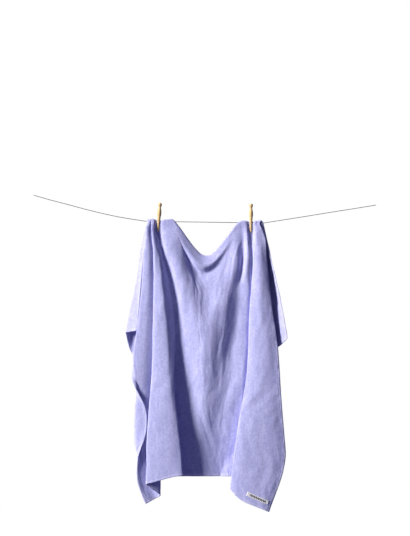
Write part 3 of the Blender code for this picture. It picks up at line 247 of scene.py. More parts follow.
# ---------------------------------------------------------------- folds of the back half
# The two left fold lines and the right edge are laid out; the rest fan out between them.
BACK_EDGE_LEFT = ((146.9, 230, 1.0), (146.6, 237, -1), (144.4, 251, -4), (141.2, 283, -7), (138.3, 316, -9),
                  (136.5, 331, -10))
BACK_FOLD_LEFT = ((145.4, 230, -9), (143.4, 237, -12), (140.4, 251, -16), (138.5, 268, -20), (133.0, 297, -26),
                  (128.2, 318.7, -30), (124.9, 333.3, -32))
BACK_EDGE_RIGHT = ((264.6, 228, -1), (267.0, 239, 5), (269.5, 250, 12), (271.3, 260.6, 20),
                   (277.2, 285, 36), (282.1, 309, 47), (286.3, 333, 56), (286.7, 338, 56))
BACK_HEM_LEFT_COLUMN, BACK_HEM_RIGHT_COLUMN = 124.9, 286.7
BACK_DEPTH, BACK_WAVE, BACK_WAVES, BACK_TUCK = -38.0, 12.0, 4.5, -24.0
BACK_LIFT, BACK_LIFT_SHARE = 76.0, 0.085  # the right margin of the back half lies up against the front half
LINE_CLEAR = 0.0006  # between the line and the layer of cloth next to it
LAYER_CLEAR = 0.0004  # between the two layers of cloth over the line
HAIRPIN_RADIUS = 0.0042
HAIRPIN_FOLDS = (1, 3, 4, 7, 8, 25, 26)
GRIP_HOLD_ROW = 233.5  # the cloth stays flat in a peg's grip down to this row


# ---------------------------------------------------------------- the cloth's shape, as in the CAD
def smooth(value):
    value = np.clip(value, 0.0, 1.0)
    return value * value * (3.0 - 2.0 * value)


def to_metres(points):
    """Grid column, grid row and millimetres forward, as x, y and z in metres."""
    points = np.asarray(points, float)
    x = (points[:, 0] - COLUMN_0) * SQUARE
    z = (ROW_0 - points[:, 1]) * SQUARE
    back = HANG_BACK * smooth((points[:, 1] - HANG_FROM_ROW) / HANG_OVER_ROWS)
    y = -(points[:, 2] / 1000.0 - back)
    return np.stack([x, y, z], axis=1)


def spline(points, count_per_span):
    """A centripetal Catmull-Rom curve through the points; (curve, index of each point on it)."""
    points = np.asarray(points, float)
    ends = [2 * points[0] - points[1]], [2 * points[-1] - points[-2]]
    p = np.concatenate([ends[0], points, ends[1]])
    knots = np.concatenate([[0.0], np.cumsum(np.maximum(np.linalg.norm(np.diff(p, axis=0), axis=1), 1e-7) ** 0.5)])
    made = []
    for i in range(1, len(p) - 2):
        a, b, c, d = p[i - 1 : i + 3]
        t0, t1, t2, t3 = knots[i - 1 : i + 3]
        for k in range(count_per_span):
            t = t1 + (t2 - t1) * k / count_per_span
            a1 = (t1 - t) / (t1 - t0) * a + (t - t0) / (t1 - t0) * b
            a2 = (t2 - t) / (t2 - t1) * b + (t - t1) / (t2 - t1) * c
            a3 = (t3 - t) / (t3 - t2) * c + (t - t2) / (t3 - t2) * d
            b1 = (t2 - t) / (t2 - t0) * a1 + (t - t0) / (t2 - t0) * a2
            b2 = (t3 - t) / (t3 - t1) * a2 + (t - t1) / (t3 - t1) * a3
            made.append((t2 - t) / (t2 - t1) * b1 + (t - t1) / (t2 - t1) * b2)
    made.append(points[-1])
    return np.array(made), [i * count_per_span for i in range(len(points))]


def lengths(points):
    return np.concatenate([[0.0], np.cumsum(np.linalg.norm(np.diff(points, axis=0), axis=1))])


def at_length(points, wanted):
    along = lengths(points)
    return np.stack([np.interp(wanted, along, points[:, k]) for k in range(3)], axis=1)


# ---------------------------------------------------------------- the cloth's middle surface
def over_the_line(index):
    """Where a fold line crosses the folded edge: (front layer, crest, back layer) in metres."""
    start = to_metres([FRONT_FOLDS[index][0]])
    full = HEM_THICKNESS if index in (0, 1, len(FRONT_FOLDS) - 2, len(FRONT_FOLDS) - 1) else PILE_THICKNESS
    thick = float(thickness_at(start[None], full)[0, 0])
    back = LINE_RADIUS + LINE_CLEAR + thick / 2
    front = back + thick + LAYER_CLEAR
    x, z = start[0, 0], start[0, 2]
    crest = np.array([x, -(front + back) / 2, z + (front - back) / 2])
    return np.array([x, -front, z]), crest, np.array([x, -back, z]), thick


def relief(column, row):
    """The middle's relief at a grid place, in millimetres forward, with its corners eased."""
    total = 0.0
    for shift, weight in ((-3.0, 0.25), (0.0, 0.5), (3.0, 0.25)):
        across = [np.interp(column + shift, RELIEF_COLUMNS, depths) for _, depths in RELIEF]
        for drop, share in ((-6.0, 0.25), (0.0, 0.5), (6.0, 0.25)):
            total += weight * share * float(np.interp(row + drop, [r for r, _ in RELIEF], across))
    return total


def front_fold(index):
    front, crest, _, _ = over_the_line(index)
    places = [list(p) for p in FRONT_FOLDS[index]]
    if index in RELIEF_FOLDS:
        columns, rows = [p[0] for p in places], [p[1] for p in places]
        first, last = RELIEF_FOLDS[0] - 1, RELIEF_FOLDS[-1]
        outer = [[[p[k] for p in FRONT_FOLDS[f]] for k in (0, 1)] for f in (first, last)]

        def spaced(row):
            """The fold's column: as laid near the slack edge, evenly spaced lower down."""
            low, high = (float(np.interp(row, r, c)) for c, r in outer)
            even = low + (high - low) * (index - first) / (last - first)
            share = EVEN_SHARE * float(smooth((row - EVEN_FROM_ROW) / (EVEN_FULL_ROW - EVEN_FROM_ROW)))
            return (1 - share) * float(np.interp(row, rows, columns)) + share * even

        extra = [r for r in RELIEF_ROWS if r < rows[-1] - 3.0]
        places = [p for p in places if p[1] < RELIEF_ROWS[0] - 1.0]
        places += [[spaced(r), r, 0.0] for r in extra + [rows[-1]]]
        for p in places:
            share = smooth((p[1] - RELIEF_FROM_ROW) / (RELIEF_FULL_ROW - RELIEF_FROM_ROW))
            p[2] += float(share) * (relief(p[0], p[1]) - p[2])
    points = to_metres(places)
    free = smooth((np.array([p[1] for p in places]) - BACK_END_ROW) / 40.0)
    points[:, 1] = np.minimum(points[:, 1], front[1] * (1 - free) + 0.012 * free)
    points[0] = front
    return np.concatenate([[crest], points])


def back_fold(index, count, front_length):
    """Control points of one fold line of the back half, from the crest down."""
    _, crest, back, thick = over_the_line(index)
    start = FRONT_FOLDS[index][0]
    hold = back - np.array([0, 0, 3.2 * SQUARE])
    laid = {0: BACK_EDGE_LEFT, 1: BACK_FOLD_LEFT, count - 1: BACK_EDGE_RIGHT}.get(index)
    if laid:
        if index == count - 1:
            back = back + np.array([1.6 * SQUARE, 0, -0.8 * SQUARE])
            hold = back + np.array([0.7 * SQUARE, 0, -1.6 * SQUARE])
        return np.concatenate([[crest, back, hold], to_metres(laid)])
    points = [crest, back, hold]
    if thick < 0.6 * PILE_THICKNESS:
        points.append(np.array([back[0], back[1], (ROW_0 - GRIP_HOLD_ROW) * SQUARE]))
    first_row = ROW_0 - points[-1][2] / SQUARE
    share = (index - 1) / (count - 2)
    drop = (TOWEL_LENGTH - front_length) / SQUARE
    last_row = start[1] + drop
    hem_column = BACK_HEM_LEFT_COLUMN + share * (BACK_HEM_RIGHT_COLUMN - BACK_HEM_LEFT_COLUMN)
    # the back half settles into broad waves as it drops
    wave = BACK_WAVE * math.sin(2 * math.pi * BACK_WAVES * share)
    edge = min(1.0, 6.0 * share, 6.0 * (1.0 - share))
    tuck = BACK_TUCK * math.exp(-((share / 0.12) ** 2))  # the back stays behind its own folded left margin
    for step in (0.07, 0.16, 0.28, 0.44, 0.62, 0.81, 1.0):
        row = first_row + (last_row - first_row) * step
        spread = smooth((row - start[1]) / drop * 0.95 + 0.02) ** 0.85
        settle = smooth(step * 2.0)
        lift = BACK_LIFT * float(smooth((row - 262.0) / 60.0)) * math.exp(-(((1.0 - share) / BACK_LIFT_SHARE) ** 2))
        depth = settle * (BACK_DEPTH * (0.72 + 0.28 * edge) + wave * edge + tuck + lift) + (1 - settle) * 1.0
        points.append(to_metres([(start[0] + (hem_column - start[0]) * spread, row, depth)])[0])
    return np.array(points)


def rounded(points, hairpins):
    """The row's fold points, with two more beside each hairpin so its two arms stay apart."""
    made = []
    for i, p in enumerate(points):
        if i not in hairpins:
            made.append(p)
            continue
        before, after = points[i - 1] - p, points[i + 1] - p
        long_before, long_after = max(np.linalg.norm(before), 1e-9), max(np.linalg.norm(after), 1e-9)
        before, after = before / long_before, after / long_after
        reach_before, reach_after = min(HAIRPIN_RADIUS, 0.35 * long_before), min(HAIRPIN_RADIUS, 0.35 * long_after)
        apart = before - after
        spread = max(np.linalg.norm(apart), 1e-9)
        extra = min(reach_before, reach_after) * max(0.0, 1 - spread / 2) * apart / spread
        made += [p + before * reach_before + extra, p, p + after * reach_after - extra]
    return np.array(made)


def cloth_surface(per_fold, front_rows, back_rows):
    """The cloth's middle surface as rows by columns of points, with the row of the folded edge."""
    count = len(FRONT_FOLDS)
    # rows: close together over the line and at the ends of the pegs, one row at each side of the hem
    def row_places(near, count, end):
        return np.concatenate([near, np.linspace(near[-1], end, count - len(near) + 1)[1:]])

    folds = []
    for index in range(count):
        front, _ = spline(front_fold(index), 8)
        f_len = lengths(front)[-1]
        back, _ = spline(back_fold(index, count, f_len), 8)
        b_len = lengths(back)[-1]
        f_at = np.concatenate([row_places(FRONT_NEAR_ROWS, front_rows, f_len - HEM_WIDTH - END_GAP),
                               [f_len - HEM_WIDTH + END_GAP, f_len]])
        b_at = np.concatenate([row_places(BACK_NEAR_ROWS, back_rows, b_len - HEM_WIDTH - END_GAP),
                               [b_len - HEM_WIDTH + END_GAP, b_len]])
        folds.append(np.concatenate([at_length(back, b_at)[::-1], at_length(front, f_at)[1:]]))
    folds = np.array(folds)  # folds by rows by 3
    ridge = back_rows + 1
    left_gap = JOIN_GAP + TURN_GAP * turning(folds[1] - folds[0])
    right_gap = JOIN_GAP + TURN_GAP * turning(folds[-2] - folds[-1])
    rows = []
    for r in range(folds.shape[1]):
        points = rounded(folds[:, r], HAIRPIN_FOLDS)
        across, index = spline(points, 12)
        total = lengths(across)
        marks = total[index]
        inner = [HEM_WIDTH + left_gap[r]]
        for k in range(1, len(marks)):
            steps = per_fold if marks[k] - marks[k - 1] > 0 and not near_hairpin(k) else 1
            for j in range(1, steps + 1):
                inner.append(marks[k - 1] + (marks[k] - marks[k - 1]) * j / steps)
        inner = np.array(inner[:-1] + [total[-1] - HEM_WIDTH - right_gap[r]])
        step = 0.0012
        for k in range(1, len(inner)):
            inner[k] = max(inner[k], inner[k - 1] + step)
        inner[-1] = total[-1] - HEM_WIDTH - right_gap[r]
        for k in range(len(inner) - 2, -1, -1):
            inner[k] = min(inner[k], inner[k + 1] - step)
        s = np.concatenate([[0.0, HEM_WIDTH - left_gap[r]], inner, [total[-1] - HEM_WIDTH + right_gap[r], total[-1]]])
        rows.append(at_length(across, s))
    return np.array(rows), ridge


def turning(across):
    """For each row, the larger angle between its direction and those of the rows beside it."""
    across = across / np.maximum(np.linalg.norm(across, axis=1, keepdims=True), 1e-9)
    angle = np.arccos(np.clip(np.sum(across[1:] * across[:-1], axis=1), -1, 1))
    return np.maximum(np.concatenate([[0], angle]), np.concatenate([angle, [0]]))


def near_hairpin(span):
    """Whether this span of a row's points is one of the two short ones at a hairpin's tip."""
    at = 0
    for i in range(len(FRONT_FOLDS)):
        if i in HAIRPIN_FOLDS:
            if span in (at + 1, at + 2):
                return True
            at += 3
        else:
            at += 1
    return False


def surface_normals(grid):
    """Unit normals of a grid of points, pointing to the front of the front half."""
    down = np.gradient(grid, axis=0)
    across = np.gradient(grid, axis=1)
    normal = np.cross(across, down)
    normal /= np.maximum(np.linalg.norm(normal, axis=2, keepdims=True), 1e-12)
    # the two sides of each join between pieces lean the same way
    for a, b in ((1, 2), (-3, -2)):
        normal[a] = normal[b] = normal[a] + normal[b]
        normal[:, a] = normal[:, b] = normal[:, a] + normal[:, b]
    return normal / np.maximum(np.linalg.norm(normal, axis=2, keepdims=True), 1e-12)


def peg_axes():
    made = []
    for tip, head in (LEFT_PEG_GRID, RIGHT_PEG_GRID):
        tip = Vector(((tip[0] - COLUMN_0) * SQUARE, -PEG_SLOT_MIDDLE, (ROW_0 - tip[1]) * SQUARE))
        head = Vector(((head[0] - COLUMN_0) * SQUARE, -PEG_SLOT_MIDDLE, (ROW_0 - head[1]) * SQUARE))
        made.append((tip, (head - tip).normalized()))
    return made


def thickness_at(grid, full):
    """Full thickness, narrowing to the pinched thickness where a peg grips the cloth."""
    made = np.full(grid.shape[:2], full)
    for tip, axis in peg_axes():
        off = grid - np.array(tip)
        along = off @ np.array(axis)
        side = np.abs(off[..., 0] - along * axis[0])
        grip = smooth((0.0155 - side) / 0.005) * smooth((along + 0.016) / 0.010)
        made = made + (PINCHED_THICKNESS - made) * grip
    return made


def room_between_layers(grid):
    """How thick the cloth can be at each point before it meets another layer of itself."""
    rows, columns = grid.shape[:2]
    across = np.array([lengths(grid[r]) for r in range(rows)])
    down = np.array([lengths(grid[:, c]) for c in range(columns)]).T
    room = np.full((rows, columns), 1.0)
    for r in range(rows):
        for q in range(max(0, r - 12), min(rows, r + 13)):
            gap = np.linalg.norm(grid[r][:, None] - grid[q][None], axis=2)
            cloth = np.hypot(across[r][:, None] - across[q][None], down[r][:, None] - down[q][None])
            other = (cloth > 0.008) & (cloth > 1.9 * gap)
            room[r] = np.minimum(room[r], np.where(other, gap - LAYER_CLEAR, 1.0).min(axis=1))
    return np.maximum(room * 0.92, THINNEST)


def pressed_folds(grid):
    """A share of the thickness: 1, but less where the cloth turns sharply back on itself near a hem."""
    ahead = np.diff(grid, axis=1)
    ahead /= np.maximum(np.linalg.norm(ahead, axis=2, keepdims=True), 1e-9)
    turn = np.zeros(grid.shape[:2])
    turn[:, 1:-1] = 1 - np.sum(ahead[:, 1:] * ahead[:, :-1], axis=2)
    wide = turn.copy()
    for shift in (1, 2):
        wide[:, shift:] = np.maximum(wide[:, shift:], turn[:, :-shift])
        wide[:, :-shift] = np.maximum(wide[:, :-shift], turn[:, shift:])
    share = 1 - (1 - PRESSED) * smooth(wide / 0.6)
    share[3:-3, 4:-4] = 1.0
    return share


# ---------------------------------------------------------------- looks: constants
CLOTH_THICKNESS = 0.0026
HEM_BULGE = 0.0036
STITCH_DIP = 0.0021
ROWS_FRONT, ROWS_BACK = 165, 64
COLUMN_STEP = 0.0038
HEM_SHARES = (0.0, 0.04, 0.18, 0.45, 0.66, 0.76, 0.86, 1.0)  # mesh lines across a hem, from its edge
STITCH_SHARE = 0.77
STITCH_STEP, STITCH_LONG, STITCH_RADIUS = 0.0042, 0.0030, 0.00045
rng = np.random.default_rng(20)


# ---------------------------------------------------------------- camera
def add_camera():
    data = bpy.data.cameras.new("camera")
    camera = bpy.data.objects.new("camera", data)
    bpy.context.scene.collection.objects.link(camera)
    bpy.context.scene.camera = camera
    data.sensor_fit, data.sensor_height, data.lens = "VERTICAL", 36.0, 100.0
    distance = 536 * SQUARE * 100.0 / 36.0
    middle = Vector((0.0, 0.0, (ROW_0 - 268.0) * SQUARE))
    camera.location = middle + Vector((0, -distance, 0))
    camera.rotation_euler = (middle - camera.location).to_track_quat("-Z", "Y").to_euler()


# ---------------------------------------------------------------- cloth surface, fine
def value_noise(a, b, step_a, step_b, seed):
    """Smooth noise from -1 to 1 over the cloth's own coordinates, in metres."""
    table = np.random.default_rng(seed).uniform(-1, 1, (97, 97))
    x, y = np.asarray(a) / step_a, np.asarray(b) / step_b
    i, j = np.floor(x).astype(int), np.floor(y).astype(int)
    u, v = x - i, y - j
    u, v = u * u * (3 - 2 * u), v * v * (3 - 2 * v)
    p, q, r, s = (table[(i + di) % 97, (j + dj) % 97] for di, dj in ((0, 0), (1, 0), (0, 1), (1, 1)))
    return (p * (1 - u) + q * u) * (1 - v) + (r * (1 - u) + s * u) * v


def fine_surface():
    """The middle surface: rows by columns of points, and the ridge's row."""
    count = len(FRONT_FOLDS)

    def places(near, total, end, rows):
        """The CAD rows' places, with more rows between them."""
        knots = np.concatenate([near, np.linspace(near[-1], end, total - len(near) + 1)[1:]])
        return np.interp(np.linspace(0, 1, rows + 1) ** 1.12 * (len(knots) - 1), np.arange(len(knots)), knots)

    folds = []
    hem = np.array(HEM_SHARES[:-1])[::-1]
    for index in range(count):
        front, _ = spline(front_fold(index), 10)
        f_len = lengths(front)[-1]
        back, _ = spline(back_fold(index, count, f_len), 10)
        b_len = lengths(back)[-1]
        f_at = np.concatenate([places(FRONT_NEAR_ROWS, FRONT_ROWS, f_len - HEM_WIDTH, ROWS_FRONT),
                               f_len - HEM_WIDTH * hem])
        b_at = np.concatenate([places(BACK_NEAR_ROWS, BACK_ROWS, b_len - HEM_WIDTH, ROWS_BACK),
                               b_len - HEM_WIDTH * hem])
        folds.append(np.concatenate([at_length(back, b_at)[::-1], at_length(front, f_at)[1:]]))
    folds = np.array(folds)
    ridge = ROWS_BACK + len(hem)

    spans = None
    rows = []
    all_points = [rounded(folds[:, r], HAIRPIN_FOLDS) for r in range(folds.shape[1])]
    typical = np.median([np.linalg.norm(np.diff(p, axis=0), axis=1) for p in all_points], axis=0)
    spans = np.maximum(np.round(typical / COLUMN_STEP).astype(int), 2)
    steps = np.concatenate([[0.0], np.cumsum(spans)])
    for points in all_points:
        across, index = spline(points, 12)
        total = lengths(across)
        marks = total[index]
        # fold lines keep their own columns; the hems' widths are kept at both sides
        inner = np.concatenate([marks[k - 1] + (marks[k] - marks[k - 1]) * np.arange(1, spans[k - 1] + 1) / spans[k - 1]
                                for k in range(1, len(marks))])
        least = 0.0007
        inner = inner[:-1]
        start, stop = HEM_WIDTH, total[-1] - HEM_WIDTH
        inner = inner.copy()
        low = start
        for k in range(len(inner)):
            low = inner[k] = max(inner[k], low + least)
        high = stop
        for k in range(len(inner) - 1, -1, -1):
            high = inner[k] = min(inner[k], high - least)
        edge = np.array(HEM_SHARES) * HEM_WIDTH
        s = np.concatenate([edge, inner, total[-1] - edge[::-1]])
        rows.append(at_length(across, s))
    return np.array(rows), ridge


def relaxed(grid, rounds, ridge):
    """Each row's points eased a little, to soften the places where fold lines meet at an angle."""
    made = grid.copy()
    n = len(HEM_SHARES)
    for _ in range(rounds):
        eased = made.copy()
        eased[1:-1] = made[1:-1] * 0.5 + (made[:-2] + made[2:]) * 0.25
        keep = np.ones(made.shape[0], bool)
        keep[: n + 1] = keep[-n - 1 :] = False
        keep[ridge - 9 : ridge + 12] = False
        made[keep] = eased[keep]
    return made


def middle_table():
    """The middle's relief as a dense, softened table, in metres forward, with its columns and rows."""
    columns, rows = np.arange(176.0, 252.1, 0.5), np.arange(278.0, 486.1, 1.0)
    table = np.array([np.interp(columns, RELIEF_COLUMNS, depths) for _, depths in RELIEF])
    table = np.array([np.interp(rows, [r for r, _ in RELIEF], table[:, c]) for c in range(len(columns))]).T
    for axis, rounds in ((1, 36), (0, 60)):
        for _ in range(rounds):
            wide = np.concatenate([np.take(table, [0], axis), table, np.take(table, [-1], axis)], axis)
            n = wide.shape[axis]
            table = (np.take(wide, range(n - 2), axis) + np.take(wide, range(2, n), axis)) * 0.25 + table * 0.5
    return columns, rows, table / 1000.0


def ironed(grid, ridge):
    """The broad middle of the front half follows its relief exactly, with no unevenness between fold lines."""
    made = grid.copy()
    column = made[..., 0] / SQUARE + COLUMN_0
    row = ROW_0 - made[..., 2] / SQUARE
    columns, rows, table = middle_table()
    a = np.clip((column - columns[0]) / 0.5, 0, len(columns) - 1.001)
    b = np.clip((row - rows[0]) / 1.0, 0, len(rows) - 1.001)
    ai, bi = a.astype(int), b.astype(int)
    af, bf = a - ai, b - bi
    depth = ((table[bi, ai] * (1 - af) + table[bi, ai + 1] * af) * (1 - bf)
             + (table[bi + 1, ai] * (1 - af) + table[bi + 1, ai + 1] * af) * bf)
    flat = -(depth - HANG_BACK * smooth((row - HANG_FROM_ROW) / HANG_OVER_ROWS))
    off = np.abs(flat - made[..., 1])
    mask = smooth((0.011 - off) / 0.004) * smooth((column - 185.0) / 7.0) * smooth((row - 283.0) / 9.0)
    mask[: ridge + 12] = 0.0
    at = np.arange(column.shape[1])
    for r in range(ridge + 12, made.shape[0]):
        middle = np.nonzero((off[r] < 0.011) & (np.abs(column[r] - 216) < 8))[0]
        if len(middle) == 0:
            mask[r] = 0.0
            continue
        back = np.nonzero(np.diff(made[r, :, 0]) < -0.0004)[0]
        after = back[back > middle[-1]]
        before = back[back < middle[0]]
        if len(after):
            mask[r] *= smooth((after[0] - 3 - at) / 5.0)
        if len(before):
            mask[r] *= smooth((at - before[-1] - 3) / 5.0)
    made[..., 1] += mask * (flat - made[..., 1])
    return made


def cloth_room():
    """The coarse grid, and its room between layers."""
    grid, ridge = cloth_surface(PER_FOLD, FRONT_ROWS, BACK_ROWS)
    return grid, room_between_layers(grid)


def nearest_values(points, places, values):
    from mathutils.kdtree import KDTree

    tree = KDTree(len(places))
    for i, p in enumerate(places):
        tree.insert(p, i)
    tree.balance()
    made = np.empty(len(points))
    for i, p in enumerate(points):
        found = tree.find_n(p, 4)
        weights = np.array([1 / (f[2] + 1e-4) for f in found])
        made[i] = float(np.dot(weights, [values[f[1]] for f in found]) / weights.sum())
    return made


def build_cloth(velour, hem_material):
    grid, ridge = fine_surface()
    grid = ironed(relaxed(grid, 3, ridge), ridge)
    rows, columns = grid.shape[:2]
    down = np.gradient(grid, axis=0)
    across = np.gradient(grid, axis=1)
    normal = np.cross(across, down)
    normal /= np.maximum(np.linalg.norm(normal, axis=2, keepdims=True), 1e-12)

    # cloth coordinates, in metres: s from the left edge, t from the folded edge
    s = np.array([lengths(grid[r]) for r in range(rows)])
    t = np.array([lengths(grid[:, c]) for c in range(columns)]).T
    t = t - t[ridge][None]
    coarse, room = cloth_room()
    near = nearest_values(grid.reshape(-1, 3), coarse.reshape(-1, 3), room.ravel()).reshape(rows, columns)
    grip = 1 - thickness_at(grid, 1.0)  # 1 in a peg's grip
    calm = smooth((np.abs(t) - 0.03) / 0.08) * (1 - np.clip(grip, 0, 1)) * smooth((near - 0.002) / 0.008)

    # small wrinkles: long soft ones that run down the cloth, and finer crumples
    wrinkle = 0.0011 * value_noise(s, t, 0.034, 0.16, 1) + 0.0007 * value_noise(s, t, 0.017, 0.055, 2)
    wrinkle += 0.00035 * value_noise(s, t, 0.009, 0.016, 3)
    # the hem band puckers a little along its stitching
    edge = np.minimum(np.minimum(s, s[:, -1:] - s), np.minimum(t[-1][None] - t, t - t[0][None]))
    pucker = 0.0006 * value_noise(s, t, 0.011, 0.011, 5) * smooth((0.03 - edge) / 0.02)
    grid = grid + normal * ((wrinkle + pucker) * calm)[..., None]

    # thickness: a padded hem, a dip along the stitching, a rounded edge
    share = np.clip(edge / HEM_WIDTH, 0, 3)
    profile = np.interp(share, (0, 0.04, 0.18, 0.45, 0.66, 0.77, 0.88, 1.0, 1.25),
                        np.array((0.30, 0.62, 0.95, 1.0, 0.92, 0.0, 0.88, 0.80, 0.0)))
    thick = np.where(share < 0.77, STITCH_DIP + (HEM_BULGE - STITCH_DIP) * profile,
                     np.where(share < 1.0, STITCH_DIP + (HEM_BULGE - STITCH_DIP) * profile,
                              CLOTH_THICKNESS + (HEM_BULGE - CLOTH_THICKNESS) * profile * 0.8))
    thick = np.where(share < 0.2, HEM_BULGE * np.interp(share, (0, 0.04, 0.18), (0.30, 0.62, 0.95)), thick)
    thick = np.minimum(thick, near + 0.0002)
    pinched = thickness_at(grid, 1.0)
    thick = np.minimum(thick, PINCHED_THICKNESS + np.clip((pinched - PINCHED_THICKNESS) / (1 - PINCHED_THICKNESS), 0, 1) * 0.006)
    thick = np.maximum(thick, THINNEST)

    down = np.gradient(grid, axis=0)
    across = np.gradient(grid, axis=1)
    normal = np.cross(across, down)
    normal /= np.maximum(np.linalg.norm(normal, axis=2, keepdims=True), 1e-12)
    half = (thick / 2)[..., None]
    face_side, inner_side = grid + normal * half, grid - normal * half

    count = rows * columns
    index = np.arange(count).reshape(rows, columns)
    a, b, d, e = index[:-1, :-1], index[:-1, 1:], index[1:, 1:], index[1:, :-1]
    outside = np.stack([a, e, d, b], axis=-1).reshape(-1, 4)
    inside = np.stack([a, b, d, e], axis=-1).reshape(-1, 4) + count
    ring = np.concatenate([index[0, :-1], index[:-1, -1], index[-1, :0:-1], index[:0:-1, 0]])
    following = np.roll(ring, -1)
    rim = np.stack([ring, following, following + count, ring + count], axis=-1)
    faces = np.concatenate([outside, inside, rim])
    mesh = bpy.data.meshes.new("towel_cloth")
    mesh.from_pydata(np.concatenate([face_side.reshape(-1, 3), inner_side.reshape(-1, 3)]).tolist(), [], faces.tolist())
    cloth = bpy.data.objects.new("towel_cloth", mesh)
    bpy.context.scene.collection.objects.link(cloth)
    mesh.materials.append(velour)
    mesh.materials.append(hem_material)

    middle_share = (share[:-1, :-1] + share[1:, 1:] + share[:-1, 1:] + share[1:, :-1]) / 4
    is_hem = (middle_share < 0.99).astype(int).ravel()
    slots = np.concatenate([is_hem, is_hem, np.ones(len(rim), int)])
    mesh.polygons.foreach_set("material_index", slots)
    mesh.polygons.foreach_set("use_smooth", np.ones(len(faces), bool))
    # the pile's own coordinates, in metres along the cloth
    uv = mesh.uv_layers.new(name="cloth")
    where = np.stack([s, t], axis=-1).reshape(-1, 2)
    where = np.concatenate([where, where])
    loops = np.empty(len(mesh.loops), int)
    mesh.loops.foreach_get("vertex_index", loops)
    uv.data.foreach_set("uv", where[loops].astype(np.float32).ravel())
    mesh.update()
    bm = bmesh.new()
    bm.from_mesh(mesh)
    bmesh.ops.recalc_face_normals(bm, faces=bm.faces)
    bm.to_mesh(mesh)
    bm.free()
    return cloth, grid, normal, thick, s, t, ridge


# ---------------------------------------------------------------- stitches
def stitch_path(grid, normal, thick, s, t, ridge, where):
    """A hem's stitching line: points, the surface's normal, and the cloth's thickness."""
    n = len(HEM_SHARES)
    k = 5
    f = (STITCH_SHARE - HEM_SHARES[k]) / (HEM_SHARES[k + 1] - HEM_SHARES[k])

    def between(values, axis_first, j):
        if axis_first == "left":
            return values[:, j] * (1 - f) + values[:, j + 1] * f
        if axis_first == "right":
            return values[:, -1 - j] * (1 - f) + values[:, -2 - j] * f
        if axis_first == "front":
            return values[-1 - j] * (1 - f) + values[-2 - j] * f
        return values[j] * (1 - f) + values[j + 1] * f

    return between(grid, where, k), between(normal, where, k), between(thick, where, k)


def build_stitches(name, path, normal, thick, side_sign, thread, skip_start, skip_end):
    """A row of stitches lying in the dip of a hem, each a short rounded piece of thread."""
    along = lengths(path)
    first, last = skip_start, along[-1] - skip_end
    count = int((last - first) / STITCH_STEP)
    starts = first + np.arange(count) * STITCH_STEP
    vertices, faces = [], []
    sides = 5
    profile = ((-0.5, 0.35), (-0.34, 0.9), (0.0, 1.0), (0.34, 0.9), (0.5, 0.35))
    half = thick / 2
    for start in starts:
        at = np.array([start + STITCH_LONG * (0.5 + u) for u, _ in profile])
        points = at_length(path, at)
        out = np.stack([np.interp(at, along, normal[:, k]) for k in range(3)], axis=1) * side_sign
        lift = np.interp(at, along, half)[:, None]
        arch = np.array([0.0, 0.75, 1.0, 0.75, 0.0])[:, None] * STITCH_RADIUS * 0.8
        ahead = points[-1] - points[0]
        length = np.linalg.norm(ahead)
        if length < 1e-6:
            continue
        ahead /= length
        base = len(vertices)
        for j, (_, size) in enumerate(profile):
            up = out[j] / max(np.linalg.norm(out[j]), 1e-9)
            wide = np.cross(ahead, up)
            wide /= max(np.linalg.norm(wide), 1e-9)
            middle = points[j] + up * (lift[j] + arch[j] + 0.0001)
            for k in range(sides):
                turn = 2 * math.pi * k / sides
                vertices.append(middle + (wide * math.cos(turn) + up * math.sin(turn)) * STITCH_RADIUS * size)
        for j in range(len(profile) - 1):
            for k in range(sides):
                a, b = base + j * sides + k, base + j * sides + (k + 1) % sides
                faces.append((a, b, b + sides, a + sides))
        faces.append(tuple(base + k for k in range(sides))[::-1])
        faces.append(tuple(base + (len(profile) - 1) * sides + k for k in range(sides)))
    return add_piece(name, vertices, faces, thread)


def add_piece(name, vertices, faces, material_, smooth_shading=True):
    mesh = bpy.data.meshes.new(name)
    mesh.from_pydata([tuple(map(float, v)) for v in vertices], [], [tuple(map(int, f)) for f in faces])
    mesh.validate()
    piece = bpy.data.objects.new(name, mesh)
    bpy.context.scene.collection.objects.link(piece)
    mesh.materials.append(material_)
    mesh.polygons.foreach_set("use_smooth", np.full(len(mesh.polygons), smooth_shading))
    bm = bmesh.new()
    bm.from_mesh(mesh)
    bmesh.ops.recalc_face_normals(bm, faces=bm.faces)
    bm.to_mesh(mesh)
    bm.free()
    return piece


# ---------------------------------------------------------------- label
LABEL_STEPS, LABEL_LEVELS = 60, 11


ZIGZAG_HEIGHT, ZIGZAG_STROKE = 0.0105, 0.0042


